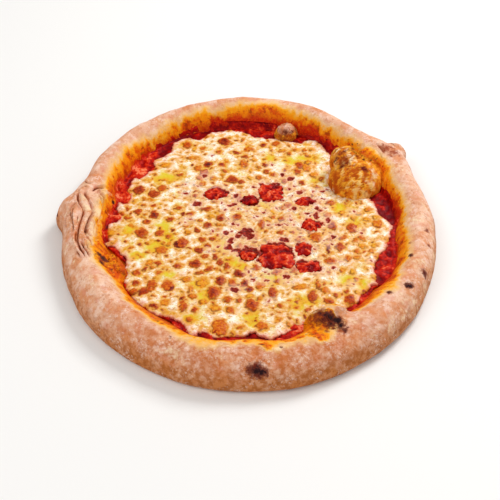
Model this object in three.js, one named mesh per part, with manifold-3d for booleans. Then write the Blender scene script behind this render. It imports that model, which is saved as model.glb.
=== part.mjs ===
// A margherita pizza, uncut: a hand-stretched dough disc with a puffed, folded and blistered rim,
// a spread of tomato sauce, a sheet of melted mozzarella and the tomato pieces that stand in it.
// Millimetres, +Z up. The origin lies on the surface the pizza rests on, under the middle of its
// outline. The big dough bubble is on the +X +Y side and the folded stretch of rim on the -X side.
import * as THREE from "three";
import { mergeVertices } from "three/addons/utils/BufferGeometryUtils.js";
import Module from "manifold-3d";

const wasm = await Module();
wasm.setup();

// Driving dimensions
const gap = 0.3; // kept between pieces that touch
const outline = { halfWidth: 155, halfDepth: 173.7 };
const floorHeight = 5; // dough under the sauce
const crestHeight = 27; // mean height of the rim
const sauceThickness = 1.6;
const cheeseThickness = 2.4;

// Where the outline and the crest leave their even course: angle and spread in degrees, amount in mm.
const outlineBulges = [
  { angle: 34.5, spread: 6, amount: 7.5 }, // blister on the outside
  { angle: 174, spread: 3.1, amount: 8.5 }, // corner of the folds
  { angle: 157, spread: 4.7, amount: -4 },
  { angle: 54, spread: 9, amount: -4 },
  { angle: -40, spread: 15, amount: 1.3 },
  { angle: -173, spread: 91, amount: -8.2 },
];
const crestBulges = [
  { angle: 176, spread: 16, amount: 3 },
  { angle: -88, spread: 40, amount: -0.8 },
  { angle: -5, spread: 28, amount: -2 },
  { angle: 88, spread: 20, amount: 1.5 },
  { angle: 38, spread: 9, amount: 2 },
];

// Angle in degrees and radius, round the foot of the rim's inner wall and round the cheese.
const wellRing = [
  [-180, 114], [-160, 110.5], [-140, 115], [-118, 117.5], [-104, 125.5], [-87, 122], [-77, 125.5],
  [-60, 118], [-45, 122], [-36, 120.5], [-22, 125.5], [-4, 121.5], [3, 124], [30, 126], [50, 133],
  [60, 136.5], [80, 140], [110, 141], [122, 134.5], [137, 127], [152, 120], [163, 110], [170, 112],
];
const cheeseRing = [
  [-180, 109], [-170, 106], [-160, 98.5], [-150, 107], [-140, 111], [-118, 112.5], [-110, 118],
  [-100, 120], [-88, 117], [-79, 120.5], [-70, 113.5], [-60, 110], [-50, 116.5], [-40, 116.5],
  [-30, 118.5], [-20, 110], [-10, 115], [0, 118], [10, 112], [20, 113], [40, 114.5], [50, 122],
  [60, 131.5], [70, 126.5], [80, 127], [90, 132], [100, 136], [110, 134], [120, 126], [130, 121],
  [140, 112], [150, 111.5], [160, 103.5], [170, 105],
];
const sauceShare = 0.963; // of the well's radius

// Nominal rim section, as radius and height, from the foot of the inner wall to the underside.
const nominal = { well: 122, outline: 162 };
const rimSection = [
  [118, floorHeight],
  [120.6, 6.2],
  [122, 8.5],
  [124, 12],
  [127.5, 17.2],
  [132.5, 22.6],
  [139, 26.3],
  [145, crestHeight],
  [151.5, 24.8],
  [157, 19.6],
  [160.5, 12.6],
  [nominal.outline, 7],
  [161, 2.2],
  [157, 0],
];
const contactRadius = 118; // nominal, a ring on the flat underside
const rimSteps = 21; // faces across the rim
const turnSteps = 80; // faces round it
const sauceSteps = 64;
const cheeseSteps = 80;
const bubbleSteps = 18;

// Creases of the folded stretch, at nominal radii across the rim, deepest at the middle of the stretch.
const folds = {
  angle: 180,
  spread: 19,
  radii: [130, 139.5, 149, 157],
  halfWidth: 2.4,
  depth: 4.5,
  swing: 1.8, // how far the creases wander across the rim
};

// Dough bubbles: centre, half sizes and turn about Z in degrees.
const bubbles = [
  { at: [93, 61, 9], size: [22.5, 22, 20], turn: 35 }, // big bubble, lower body
  { at: [108, 80, 14], size: [20, 13, 16], turn: 35 }, // its saddle on the rim
  { at: [84.5, 74, 22.5], size: [13, 12, 12.5], turn: 20 }, // its knob
  { at: [35, 129, 8.5], size: [12, 8.5, 10.5], turn: 0 }, // far side
  { at: [64, -113, 13.5], size: [20, 15, 14], turn: 28 }, // burnt one, near side
  { at: [-105, -46, 7], size: [19, 12, 11], turn: -60 }, // left side
  { at: [126, 90, 14.5], size: [13, 10.5, 11.5], turn: 35 }, // outside the rim
];
const bubbleFoot = 1.5; // bubbles end inside the floor of the dough
const tomatoPieces = [
  { at: [25, -32], size: [13, 15], turn: 20 },
  { at: [3, -29], size: [6.5, 6], turn: 10 },
  { at: [22, 48], size: [8.5, 12.5], turn: -20 },
  { at: [4, 38], size: [6.5, 5.5], turn: 0 },
  { at: [51, 36], size: [7.5, 4.5], turn: 5 },
  { at: [55, 6], size: [8.5, 5], turn: 25 },
  { at: [47, -23], size: [6, 7], turn: 0 },
  { at: [50, -44], size: [10, 5.5], turn: -22 },
  { at: [-24, 46], size: [9, 8], turn: 15 },
];
const tomatoStandsProud = 1.9; // above the cheese
const tomatoHalfHeight = 3;

const radians = THREE.MathUtils.degToRad;

// The sum of the bulges at an angle in degrees.
function bulge(list, angle) {
  let sum = 0;
  for (const { angle: middle, spread, amount } of list) {
    const away = THREE.MathUtils.euclideanModulo(angle - middle + 180, 360) - 180;
    sum += amount * Math.exp(-0.5 * (away / spread) ** 2);
  }
  return sum;
}

// A gentle unevenness round the rim, from -1 to 1.
function waver(angle, turns, phase) {
  const a = radians(angle);
  return 0.6 * Math.sin(turns * a + phase) + 0.4 * Math.sin((2 * turns + 1) * a + 2.3 * phase);
}

function ellipseRadius(halfWidth, halfDepth, angle) {
  const a = radians(angle);
  return (halfWidth * halfDepth) / Math.hypot(halfDepth * Math.cos(a), halfWidth * Math.sin(a));
}

function outlineRadius(angle) {
  const even = ellipseRadius(outline.halfWidth, outline.halfDepth, angle);
  return even + bulge(outlineBulges, angle) + 0.7 * waver(angle, 5, 1.1);
}

// The radius at an angle, straight between the neighbouring entries of a ring.
function ringRadius(ring, angle) {
  const next = ring.findIndex(([at]) => at > angle);
  const [endAt, end] = next < 0 ? [ring[0][0] + 360, ring[0][1]] : ring[next];
  const [startAt, start] = ring.at(next < 0 ? -1 : next - 1);
  return THREE.MathUtils.mapLinear(angle, startAt, endAt, start, end);
}

function wellRadius(angle) {
  return ringRadius(wellRing, angle);
}

function crestAt(angle) {
  return crestHeight + bulge(crestBulges, angle) + 0.8 * waver(angle, 4, 2.0);
}

// How far the folded stretch sinks the surface at a nominal radius.
function foldDepth(angle, radius) {
  const away = THREE.MathUtils.euclideanModulo(angle - folds.angle + 180, 360) - 180;
  const along = Math.exp(-0.5 * (away / folds.spread) ** 4);
  const swing = folds.swing * Math.sin(radians(away * 9));
  let depth = 0;
  for (const crease of folds.radii) {
    depth += Math.exp(-0.5 * ((radius - crease - swing) / folds.halfWidth) ** 2);
  }
  return folds.depth * along * depth;
}

// Carries a point of the nominal section, at its angle, to the pizza's uneven outline.
function shapeDough(angle, radius, height) {
  const inner = wellRadius(angle);
  if (radius <= nominal.well) {
    return [(radius * inner) / nominal.well, raise(angle, height)];
  }
  const across = (radius - nominal.well) / (nominal.outline - nominal.well);
  const top = height > floorHeight + 3 ? foldDepth(angle, radius) : 0;
  return [inner + across * (outlineRadius(angle) - inner), raise(angle, height) - top];
}

function raise(angle, height) {
  if (height <= floorHeight) return height;
  const growth = (crestAt(angle) - floorHeight) / (crestHeight - floorHeight);
  return floorHeight + (height - floorHeight) * growth;
}

// X and Y at an angle in degrees and a radius.
function spot(angle, radius) {
  return [radius * Math.cos(radians(angle)), radius * Math.sin(radians(angle))];
}

// Turns a profile round Z and carries each vertex by shape(angle, radius, height).
function turned(profile, steps, shape) {
  const geometry = new THREE.LatheGeometry(profile, steps);
  geometry.rotateX(Math.PI / 2); // the lathe turns round Y
  const position = geometry.getAttribute("position");
  for (let i = 0; i < position.count; i++) {
    const [x, y, z] = [position.getX(i), position.getY(i), position.getZ(i)];
    const angle = THREE.MathUtils.radToDeg(Math.atan2(y, x));
    const [radius, height] = shape(angle, Math.hypot(x, y), z);
    position.setXYZ(i, ...spot(angle, radius), height);
  }
  return geometry;
}

// A ball with uneven lumps, for bubbles and tomato pieces.
function lumpyBall(size, around, down, lumps, seed) {
  const ball = new THREE.SphereGeometry(1, around, down);
  ball.rotateX(Math.PI / 2);
  const position = ball.getAttribute("position");
  const p = new THREE.Vector3();
  for (let i = 0; i < position.count; i++) {
    p.fromBufferAttribute(position, i);
    const level = Math.sin(3.1 * p.x + seed) * Math.sin(2.7 * p.y + 2 * seed);
    const lump = level * Math.cos(2.3 * p.z + seed);
    p.multiplyScalar(1 + lumps * lump).multiply(new THREE.Vector3(...size));
    position.setXYZ(i, p.x, p.y, p.z);
  }
  return ball;
}

// Closed geometry to a solid that can be joined and cut, and back.
function toSolid(geometry) {
  const bare = geometry.clone();
  bare.deleteAttribute("normal");
  bare.deleteAttribute("uv");
  const merged = mergeVertices(bare, 1e-3);
  const solid = new wasm.Manifold(
    new wasm.Mesh({
      numProp: 3,
      vertProperties: merged.getAttribute("position").array,
      triVerts: new Uint32Array(merged.index.array),
    }),
  );
  if (solid.volume() < 0) throw new Error("a profile runs the wrong way round");
  return solid;
}

function toGeometry(solid) {
  const mesh = solid.getMesh();
  const geometry = new THREE.BufferGeometry();
  geometry.setAttribute("position", new THREE.BufferAttribute(mesh.vertProperties, 3));
  geometry.setIndex(new THREE.BufferAttribute(mesh.triVerts, 1));
  geometry.computeVertexNormals();
  return geometry;
}

// Flattens what reaches below a height.
function flattenBelow(geometry, lowest) {
  const position = geometry.getAttribute("position");
  for (let i = 0; i < position.count; i++) {
    position.setZ(i, Math.max(position.getZ(i), lowest));
  }
}

// A bubble as a solid, grown by a clearance when it cuts its neighbours.
function bubbleSolid({ at, size, turn }, clearance, index) {
  const grown = size.map((half) => half + clearance);
  const ball = lumpyBall(grown, bubbleSteps, bubbleSteps / 2, 0.06, index);
  ball.rotateZ(radians(turn));
  ball.translate(...at);
  flattenBelow(ball, bubbleFoot);
  return toSolid(ball);
}

function makeCrust() {
  const rim = new THREE.SplineCurve(rimSection.map(([r, h]) => new THREE.Vector2(r, h)));
  const profile = [new THREE.Vector2(0, floorHeight), new THREE.Vector2(70, floorHeight)];
  profile.push(...rim.getSpacedPoints(rimSteps));
  profile.push(new THREE.Vector2(contactRadius, 0), new THREE.Vector2(0, 0));
  let crust = toSolid(turned(profile.reverse(), turnSteps, shapeDough));
  bubbles.forEach((bubble, index) => {
    crust = crust.add(bubbleSolid(bubble, 0, index));
  });
  return crust;
}

const cheeseBottom = floorHeight + gap + sauceThickness + gap;
const cheeseTop = cheeseBottom + cheeseThickness;

function sauceEdge(angle) {
  return sauceShare * wellRadius(angle);
}

function cheeseEdge(angle) {
  return ringRadius(cheeseRing, angle) + 0.8 * waver(angle, 17, 2.9);
}

// A flat spread with a rounded edge, out to edge(angle). Its top has vertices at the given shares of
// the edge's radius, and lift(x, y) raises them.
function makeSpread(bottom, top, steps, edge, shares, lift) {
  const thickness = top - bottom;
  const profile = [
    new THREE.Vector2(0, bottom),
    new THREE.Vector2(0.985, bottom),
    new THREE.Vector2(1, bottom + 0.35 * thickness),
    new THREE.Vector2(0.975, top - 0.1 * thickness),
    ...shares.map((share) => new THREE.Vector2(share, top)),
    new THREE.Vector2(0, top),
  ];
  const geometry = turned(profile, steps, (angle, share, height) => {
    const radius = share * edge(angle);
    if (height < top - 0.01) return [radius, height];
    return [radius, height + lift(...spot(angle, radius))];
  });
  return toSolid(geometry);
}

function withoutBubbles(spread) {
  let left = spread;
  bubbles.forEach((bubble, index) => {
    left = left.subtract(bubbleSolid(bubble, gap, index));
  });
  return left;
}

function makeSauce() {
  const bottom = floorHeight + gap;
  const top = bottom + sauceThickness;
  return withoutBubbles(makeSpread(bottom, top, sauceSteps, sauceEdge, [0.94], () => 0));
}

// A tomato piece, flat underneath because it sits on the sauce.
function tomatoSolid({ at, size, turn }, clearance, index) {
  const grown = [size[0] + clearance, size[1] + clearance, tomatoHalfHeight + clearance];
  const ball = lumpyBall(grown, 12, 6, 0.16, 5 + 2 * index);
  ball.rotateZ(radians(turn));
  ball.translate(at[0], at[1], cheeseTop + tomatoStandsProud - tomatoHalfHeight);
  flattenBelow(ball, cheeseBottom + 0.4 - clearance);
  return toSolid(ball);
}

function cheeseLift(x, y) {
  return 0.5 * Math.sin(x / 9) * Math.cos(y / 11 + 1) + 0.35 * Math.sin((x + y) / 15);
}

function makeCheese() {
  const rings = [0.93, 0.72, 0.5, 0.25];
  const sheet = makeSpread(cheeseBottom, cheeseTop, cheeseSteps, cheeseEdge, rings, cheeseLift);
  let cheese = withoutBubbles(sheet);
  tomatoPieces.forEach((piece, index) => {
    cheese = cheese.subtract(tomatoSolid(piece, gap, index));
  });
  return cheese;
}

const materials = {
  crust: new THREE.MeshStandardMaterial({ color: 0xe9c9a2, roughness: 0.85, metalness: 0 }),
  sauce: new THREE.MeshStandardMaterial({ color: 0xb3200f, roughness: 0.35, metalness: 0 }),
  cheese: new THREE.MeshStandardMaterial({ color: 0xf4dea2, roughness: 0.4, metalness: 0 }),
  tomato: new THREE.MeshStandardMaterial({ color: 0xc22c16, roughness: 0.3, metalness: 0 }),
};

function piece(name, solid, material) {
  const mesh = new THREE.Mesh(toGeometry(solid), material);
  mesh.name = name;
  return mesh;
}

const pizza = new THREE.Group();
pizza.add(piece("crust", makeCrust(), materials.crust));
pizza.add(piece("tomato_sauce", makeSauce(), materials.sauce));
pizza.add(piece("mozzarella", makeCheese(), materials.cheese));
tomatoPieces.forEach((tomato, index) => {
  pizza.add(piece(`tomato_piece_${index + 1}`, tomatoSolid(tomato, 0, index), materials.tomato));
});

// Puts the origin under the middle of the outline.
const middle = new THREE.Box3().setFromObject(pizza).getCenter(new THREE.Vector3());
pizza.position.set(-middle.x, -middle.y, 0);

export default pizza;
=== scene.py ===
import math

import bmesh
import bpy
import numpy as np
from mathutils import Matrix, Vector, noise
from mathutils.bvhtree import BVHTree


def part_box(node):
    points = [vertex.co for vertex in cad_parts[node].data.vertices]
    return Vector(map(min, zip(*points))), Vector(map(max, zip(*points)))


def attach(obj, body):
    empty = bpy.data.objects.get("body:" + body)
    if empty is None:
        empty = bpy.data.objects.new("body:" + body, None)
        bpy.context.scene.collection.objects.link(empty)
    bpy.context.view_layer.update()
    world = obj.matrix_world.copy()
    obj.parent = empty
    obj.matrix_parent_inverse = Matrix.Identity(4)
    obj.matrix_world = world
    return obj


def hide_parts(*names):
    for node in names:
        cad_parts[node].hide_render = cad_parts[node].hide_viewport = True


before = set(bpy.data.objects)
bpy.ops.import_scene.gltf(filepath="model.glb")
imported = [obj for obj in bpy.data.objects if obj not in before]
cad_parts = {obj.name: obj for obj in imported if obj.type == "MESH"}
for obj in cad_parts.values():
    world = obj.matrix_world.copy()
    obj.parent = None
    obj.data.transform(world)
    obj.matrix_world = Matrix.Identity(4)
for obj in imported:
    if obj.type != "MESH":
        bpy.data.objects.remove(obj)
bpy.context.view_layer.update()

mm = 0.001  # meshes are made in millimetres and brought to metres at the end
random = np.random.default_rng(11)
scene = bpy.context.scene
scene.view_settings.view_transform = "Standard"

studio = {
    "cameraPlace": (3.2, -739.3, 650.9),
    "cameraAim": (4.5, -13.7, 0),
    "lens": 87.3,
    "frameWidth": 500,
    "floorHalf": 4000,
    "floorColour": (242, 240, 237),
    "worldColour": (240, 240, 240),
    "worldStrength": 0.565,
    "lamps": (  # place, width, watts
        ((620, 700, 1000), 480, 11.4),
        ((-900, -500, 1100), 1000, 6.5),
        ((500, -1100, 700), 900, 2.5),
    ),
}


def tint(red, green, blue):
    def straight(value):
        value /= 255
        return value / 12.92 if value <= 0.04045 else ((value + 0.055) / 1.055) ** 2.4
    return (straight(red), straight(green), straight(blue), 1.0)


def addCamera():
    camera = bpy.data.objects.new("camera", bpy.data.cameras.new("camera"))
    scene.collection.objects.link(camera)
    camera.location = Vector(studio["cameraPlace"]) * mm
    aim = Vector(studio["cameraAim"]) * mm
    camera.rotation_euler = (aim - camera.location).to_track_quat("-Z", "Y").to_euler()
    camera.data.lens = studio["lens"]
    camera.data.clip_end = 50
    scene.camera = camera


def addLamps():
    for number, (spot, width, watts) in enumerate(studio["lamps"]):
        lamp = bpy.data.lights.new(f"softLamp{number}", "AREA")
        lamp.size = width * mm
        lamp.energy = watts
        holder = bpy.data.objects.new(lamp.name, lamp)
        holder.location = Vector(spot) * mm
        holder.rotation_euler = (-holder.location).to_track_quat("-Z", "Y").to_euler()
        scene.collection.objects.link(holder)
    world = bpy.data.worlds.new("paleRoom")
    world.use_nodes = True
    background = world.node_tree.nodes["Background"]
    background.inputs["Color"].default_value = tint(*studio["worldColour"])
    background.inputs["Strength"].default_value = studio["worldStrength"]
    scene.world = world


def sightLine(x, y):
    # what the camera sees at x, y of its frame, counted from the upper left corner
    eye = Vector(studio["cameraPlace"])
    ahead = (Vector(studio["cameraAim"]) - eye).normalized()
    right = ahead.cross(Vector((0, 0, 1))).normalized()
    half = studio["frameWidth"] / 2
    reach = studio["lens"] / 36 * studio["frameWidth"]
    way = ahead + right * ((x - half) / reach) + right.cross(ahead) * ((half - y) / reach)
    return eye, way.normalized()


def onLevel(spots, level):
    # the places of those spots of the frame on a flat level
    landed = []
    for x, y in spots:
        eye, way = sightLine(x, y)
        landed.append((eye + way * ((level - eye.z) / way.z))[:2])
    return np.array(landed)


def onSkin(tree, spots):
    # the places of those spots of the frame on a modelled skin
    landed = []
    for x, y in spots:
        eye, way = sightLine(x, y)
        hit = tree.ray_cast(eye, way)[0]
        if hit is not None:
            landed.append(hit[:])
    return np.array(landed)


def addNode(tree, kind, inputs=None, **settings):
    made = tree.nodes.new("ShaderNode" + kind)
    for name, value in settings.items():
        setattr(made, name, value)
    for socket, value in (inputs or {}).items():
        if isinstance(value, bpy.types.NodeSocket):
            tree.links.new(value, made.inputs[socket])
        else:
            made.inputs[socket].default_value = value
    return made


def place(tree):
    return addNode(tree, "TexCoord").outputs["Object"]


def height(tree):
    return addNode(tree, "SeparateXYZ", {0: place(tree)}).outputs["Z"]


def depthways(tree):
    return addNode(tree, "SeparateXYZ", {0: place(tree)}).outputs["Y"]


def painted(tree, name):
    return addNode(tree, "Attribute", attribute_name=name).outputs["Fac"]


def grain(tree, size, detail=3.0, rough=0.5, warp=0.0, stretch=(1, 1, 1), shift=0.0):
    # size is the width of one lump in millimetres
    moved = addNode(tree, "Mapping", {"Vector": place(tree), "Location": (shift, shift, 0), "Scale": stretch})
    inputs = {"Vector": moved.outputs[0], "Scale": 1 / (size * mm), "Detail": detail, "Roughness": rough,
              "Distortion": warp}
    return addNode(tree, "TexNoise", inputs).outputs["Fac"]


def count(tree, operation, first, second=0.0):
    return addNode(tree, "Math", {0: first, 1: second}, operation=operation).outputs[0]


def mask(tree, value, low, high, share=1.0):
    # 0 up to low and the share from high on, soft between them
    inputs = {"Value": value, "From Min": low, "From Max": high, "To Max": share}
    return addNode(tree, "MapRange", inputs, interpolation_type="SMOOTHSTEP").outputs["Result"]


def ragged(tree, value, size, amount, shift=0.0, detail=4.0, rough=0.6, warp=0.4):
    # the value with a noisy edge, amount to each side
    wave = count(tree, "SUBTRACT", grain(tree, size, detail, rough, warp, shift=shift), 0.5)
    return count(tree, "ADD", value, count(tree, "MULTIPLY", wave, 4.0 * amount))


def scaled(tree, value, factor, offset=0.0):
    return addNode(tree, "Math", {0: value, 1: factor, 2: offset}, operation="MULTIPLY_ADD").outputs[0]


def blend(tree, share, under, over, mode="MIX"):
    inputs = {"Factor": share, 6: under, 7: over}
    return addNode(tree, "Mix", inputs, data_type="RGBA", blend_type=mode).outputs[2]


def coated(tree, under, *coats):
    # lays colours over each other, each by its own share
    for share, colour in coats:
        under = blend(tree, share, under, tint(*colour))
    return under


def shades(tree, value, stops):
    # a colour for each stop of the value, soft between them
    ramp = addNode(tree, "ValToRGB", {"Fac": value})
    ramp.color_ramp.elements.remove(ramp.color_ramp.elements[1])
    for number, (at, colour) in enumerate(stops):
        stop = ramp.color_ramp.elements[0] if number == 0 else ramp.color_ramp.elements.new(at)
        stop.position = at
        stop.color = tint(*colour)
    return ramp.outputs["Color"]


def newFinish(name, roughness=0.5):
    finish = bpy.data.materials.new(name)
    finish.use_nodes = True
    shader = finish.node_tree.nodes["Principled BSDF"]
    shader.inputs["Roughness"].default_value = roughness
    return finish, finish.node_tree, shader


def setRelief(tree, shader, value, depth, strength=1.0):
    # depth in millimetres
    bump = addNode(tree, "Bump", {"Height": value, "Distance": depth * mm, "Strength": strength})
    tree.links.new(bump.outputs[0], shader.inputs["Normal"])


def setDepth(shader, gloss, share, reach):
    # how much it shines, and how far light of each colour spreads in it, in metres
    shader.inputs["Specular IOR Level"].default_value = gloss
    shader.inputs["Subsurface Weight"].default_value = share
    shader.inputs["Subsurface Radius"].default_value = reach


def addPiece(name, bm, finish, node=None, paint=None):
    bmesh.ops.scale(bm, vec=(mm, mm, mm), verts=bm.verts)
    mesh = bpy.data.meshes.new(name)
    bm.to_mesh(mesh)
    bm.free()
    for attribute, values in (paint or {}).items():
        layer = mesh.attributes.new(attribute, "FLOAT", "POINT")
        layer.data.foreach_set("value", np.asarray(values, dtype=np.float32))
    mesh.shade_smooth()
    mesh.materials.append(finish)
    piece = bpy.data.objects.new(name, mesh)
    scene.collection.objects.link(piece)
    if node:
        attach(piece, "root")
        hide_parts(node)
        print(name, "has", len(mesh.vertices), "points")
    return piece


def pointsOf(verts):
    return np.array([v.co[:] for v in verts])


def normalsOf(bm):
    bm.normal_update()
    return np.array([v.normal[:] for v in bm.verts])


def movePoints(verts, points):
    for vert, point in zip(verts, points.tolist()):
        vert.co = point


def lumps(points, size, octaves=3, seed=0.0):
    # fractal noise, about -1 to 1; size is the width of its largest lumps
    spots = np.asarray(points) / size + (seed, 1.7 * seed, 2.3 * seed)
    return np.array([noise.fractal(spot, 1.0, 2.0, octaves) for spot in spots.tolist()])


def ridges(points, size, octaves=2, seed=0.0):
    return 1 - 2 * np.abs(lumps(points, size, octaves, seed))


def softStep(value, low, high):
    share = np.clip((value - low) / (high - low), 0, 1)
    return share * share * (3 - 2 * share)


def softMax(first, second, width):
    share = np.clip(0.5 + 0.5 * (first - second) / width, 0, 1)
    return second + (first - second) * share + 0.5 * width * share * (1 - share)


def refine(bm, verts, longest):
    # splits the edges between these points that are too long, and gives back the points with the new ones
    chosen = dict.fromkeys(verts)
    long = dict.fromkeys(e for v in verts for e in v.link_edges
                         if e.other_vert(v) in chosen and e.calc_length() > longest)
    if not long:
        return verts, False
    made = bmesh.ops.subdivide_edges(bm, edges=list(long), cuts=1, use_grid_fill=True)
    fresh = [g for g in made["geom_inner"] if isinstance(g, bmesh.types.BMVert)]
    return [v for v in dict.fromkeys(verts + fresh) if v.is_valid], True


def insideOutline(flat, outline):
    # millimetres inside a closed outline, negative outside it
    x, y = flat.T
    nearest = np.full(len(flat), 1e9)
    within = np.zeros(len(flat), bool)
    for start, end in zip(outline, np.roll(outline, -1, axis=0)):
        span = end - start
        share = np.clip(((flat - start) @ span) / (span @ span), 0, 1)
        away = flat - start - share[:, None] * span
        nearest = np.minimum(nearest, np.hypot(away[:, 0], away[:, 1]))
        crosses = (start[1] > y) != (end[1] > y)
        within ^= crosses & (x < start[0] + (y - start[1]) * span[0] / (span[1] or 1e-9))
    return np.where(within, nearest, -nearest)


def lineDistance(points, line):
    nearest = np.full(len(points), 1e9)
    for start, end in zip(line[:-1], line[1:]):
        span = end - start
        share = np.clip(((points - start) @ span) / (span @ span), 0, 1)
        nearest = np.minimum(nearest, np.linalg.norm(points - start - share[:, None] * span, axis=1))
    return nearest


def smoothLine(points, steps):
    # a curve through all the points, cut into even steps
    given = np.array(points, float)
    ends = np.vstack([2 * given[0] - given[1], given, 2 * given[-1] - given[-2]])
    fine = []
    for a, b, c, d in zip(ends[:-3], ends[1:-2], ends[2:-1], ends[3:]):
        for t in np.linspace(0, 1, 20, endpoint=False):
            cubic = (3 * b - a - 3 * c + d) * t ** 3
            fine.append(0.5 * (2 * b + (c - a) * t + (2 * a - 5 * b + 4 * c - d) * t ** 2 + cubic))
    fine = np.vstack([fine, given[-1]])
    run = np.concatenate([[0], np.cumsum(np.linalg.norm(np.diff(fine, axis=0), axis=1))])
    at = np.linspace(0, run[-1], steps + 1)
    return np.column_stack([np.interp(at, run, fine[:, axis]) for axis in range(fine.shape[1])])


# the round: its outline, well and crest by angle in degrees, counted from the right
base = {
    "outlineHalf": (155, 173.7),
    "floorHeight": 5.0,
    "crestHeight": 27.0,
    # angle, spread, amount
    "outlineBulges": (
        (34.5, 6, 7.5), (174, 3.1, 8.5), (157, 4.7, -4), (54, 9, -4), (-40, 15, 1.3), (-173, 91, -8.2),
    ),
    "crestBulges": ((176, 16, 3), (-88, 40, -0.8), (-5, 28, -2), (88, 20, 1.5), (38, 9, 2)),
    # angle, spread and the share of the rim's width that its inner wall leans out
    "lean": ((90, 42, -0.06), (-90, 45, 0.055), (-10, 25, 0.01)),
    # angle and radius of the foot of the rim's inner wall
    "wellEnds": (
        (-180, 114.5), (-170, 112), (-160, 110), (-150, 112), (-140, 115), (-128, 117), (-118, 117),
        (-112, 121.5), (-104, 126), (-97, 125.5), (-90, 121.5), (-85, 121.5), (-80, 126), (-75, 126),
        (-68, 120), (-60, 117), (-52, 121), (-45, 122.5), (-36, 120), (-30, 124), (-22, 126), (-12, 124),
        (-4, 121), (3, 124.5), (20, 125.5), (30, 126), (40, 128), (50, 133), (60, 137), (70, 140),
        (80, 140), (100, 141), (110, 141), (117, 138), (122, 134.5), (130, 132), (137, 127), (145, 124),
        (152, 120.5), (158, 114.5), (163, 109.5), (170, 112.5),
    ),
}


def angleOf(points):
    return np.degrees(np.arctan2(points[:, 1], points[:, 0]))


def bulge(bulges, angle):
    total = np.zeros_like(angle)
    for middle, spread, amount in bulges:
        away = (angle - middle + 180) % 360 - 180
        total += amount * np.exp(-0.5 * (away / spread) ** 2)
    return total


def waver(angle, turns, phase):
    a = np.radians(angle)
    return 0.6 * np.sin(turns * a + phase) + 0.4 * np.sin((2 * turns + 1) * a + 2.3 * phase)


def aroundRing(ends, angle, soft=2.5):
    # a smooth radius for every angle from the measured ones
    fine = np.arange(-180, 180, 0.5)
    ends = np.array(ends)
    rough = np.interp(fine, ends[:, 0], ends[:, 1], period=360)
    weights = np.exp(-0.5 * (np.arange(-30, 31) * 0.5 / soft) ** 2)
    smooth = np.convolve(np.concatenate([rough[-30:], rough, rough[:30]]), weights / weights.sum(), "valid")
    return np.interp(angle, fine, smooth, period=360)


def outlineRadius(angle):
    a = np.radians(angle)
    long, wide = base["outlineHalf"]
    oval = long * wide / np.hypot(wide * np.cos(a), long * np.sin(a))
    return oval + bulge(base["outlineBulges"], angle) + 0.7 * waver(angle, 5, 1.1)


def wellRadius(angle):
    return aroundRing(base["wellEnds"], angle)


def crestGrowth(angle):
    crest = base["crestHeight"] + bulge(base["crestBulges"], angle) + 0.8 * waver(angle, 4, 2.0)
    return (crest - base["floorHeight"]) / (base["crestHeight"] - base["floorHeight"])


crust = {
    # radius and height round the rim, from the well's floor over the crest to the underside
    "section": ((118, 5), (120.6, 6.2), (122, 8.5), (124, 12), (127.5, 17.2), (132.5, 22.6), (139, 26.3),
                (145, 27), (151.5, 24.8), (157, 19.6), (160.5, 12.6), (162, 7), (161, 2.2), (157, 0)),
    "sectionFaces": 70,
    "turnFaces": 680,
    "wellRings": (0, 40, 66, 78, 84, 89, 93, 97, 101, 104.5, 108, 111, 113.5, 116),
    "baseRings": (140, 118, 60, 0),
    "nominalWell": 122,
    "nominalOutline": 162,
    "leanReach": 0.6,
    "bubbleFace": 1.25,  # mm, the longest edge on a bubble
    "foldFace": 0.8,
    "foldedStretch": (-98, -2, 46, 12),  # largest x, middle y, half length and lowest z of the refined part
    "swells": ((45, 2, 1.3), (14, 3, 0.6)),  # width of the lumps, octaves, amount
    "pleatDepth": 1.1,
    "hiddenWall": (-25, -65),  # y where the near wall, which faces away, starts and is full
    "goldenBubbles": (0, 2),
    "farBubble": 3,
    "farBubbleTones": (0.45, 0.62),  # how toasted and how golden it is
    "unseen": -20,  # depth in the stain where the dough faces down, so that none shows there
    "open": 60,  # added where the wall is seen, so that no height limits it
    "amberReach": (24, -11),  # the stain's depth is the first times the amber, plus the second
    "redKeptOff": {"golden": 12, "amber": 8},
    "cleanDepth": 30,
    "wallLimits": {"stain": (24, 0.6), "red": (11, 0.8)},  # how high each climbs there, and how fast it ends
}
# centre, half sizes, turn about Z, width of the fillet at its foot; the first and third are the big blister
bubbles = (
    ((93, 61, 9), (22.5, 22, 20), 35, 2.5),
    ((108, 80, 14), (20, 13, 16), 35, 6.0),
    ((84.5, 74, 22.5), (13, 12, 12.5), 20, 1.5),
    ((36, 129, 8.5), (9.5, 8.2, 10.8), 0, 5.0),
    ((64, -113, 13.5), (20, 15, 14), 28, 8.0),
    ((-105, -46, 7), (19, 12, 11), -60, 7.0),
    ((126, 90, 14.5), (13, 10.5, 11.5), 35, 5.0),
)
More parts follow.
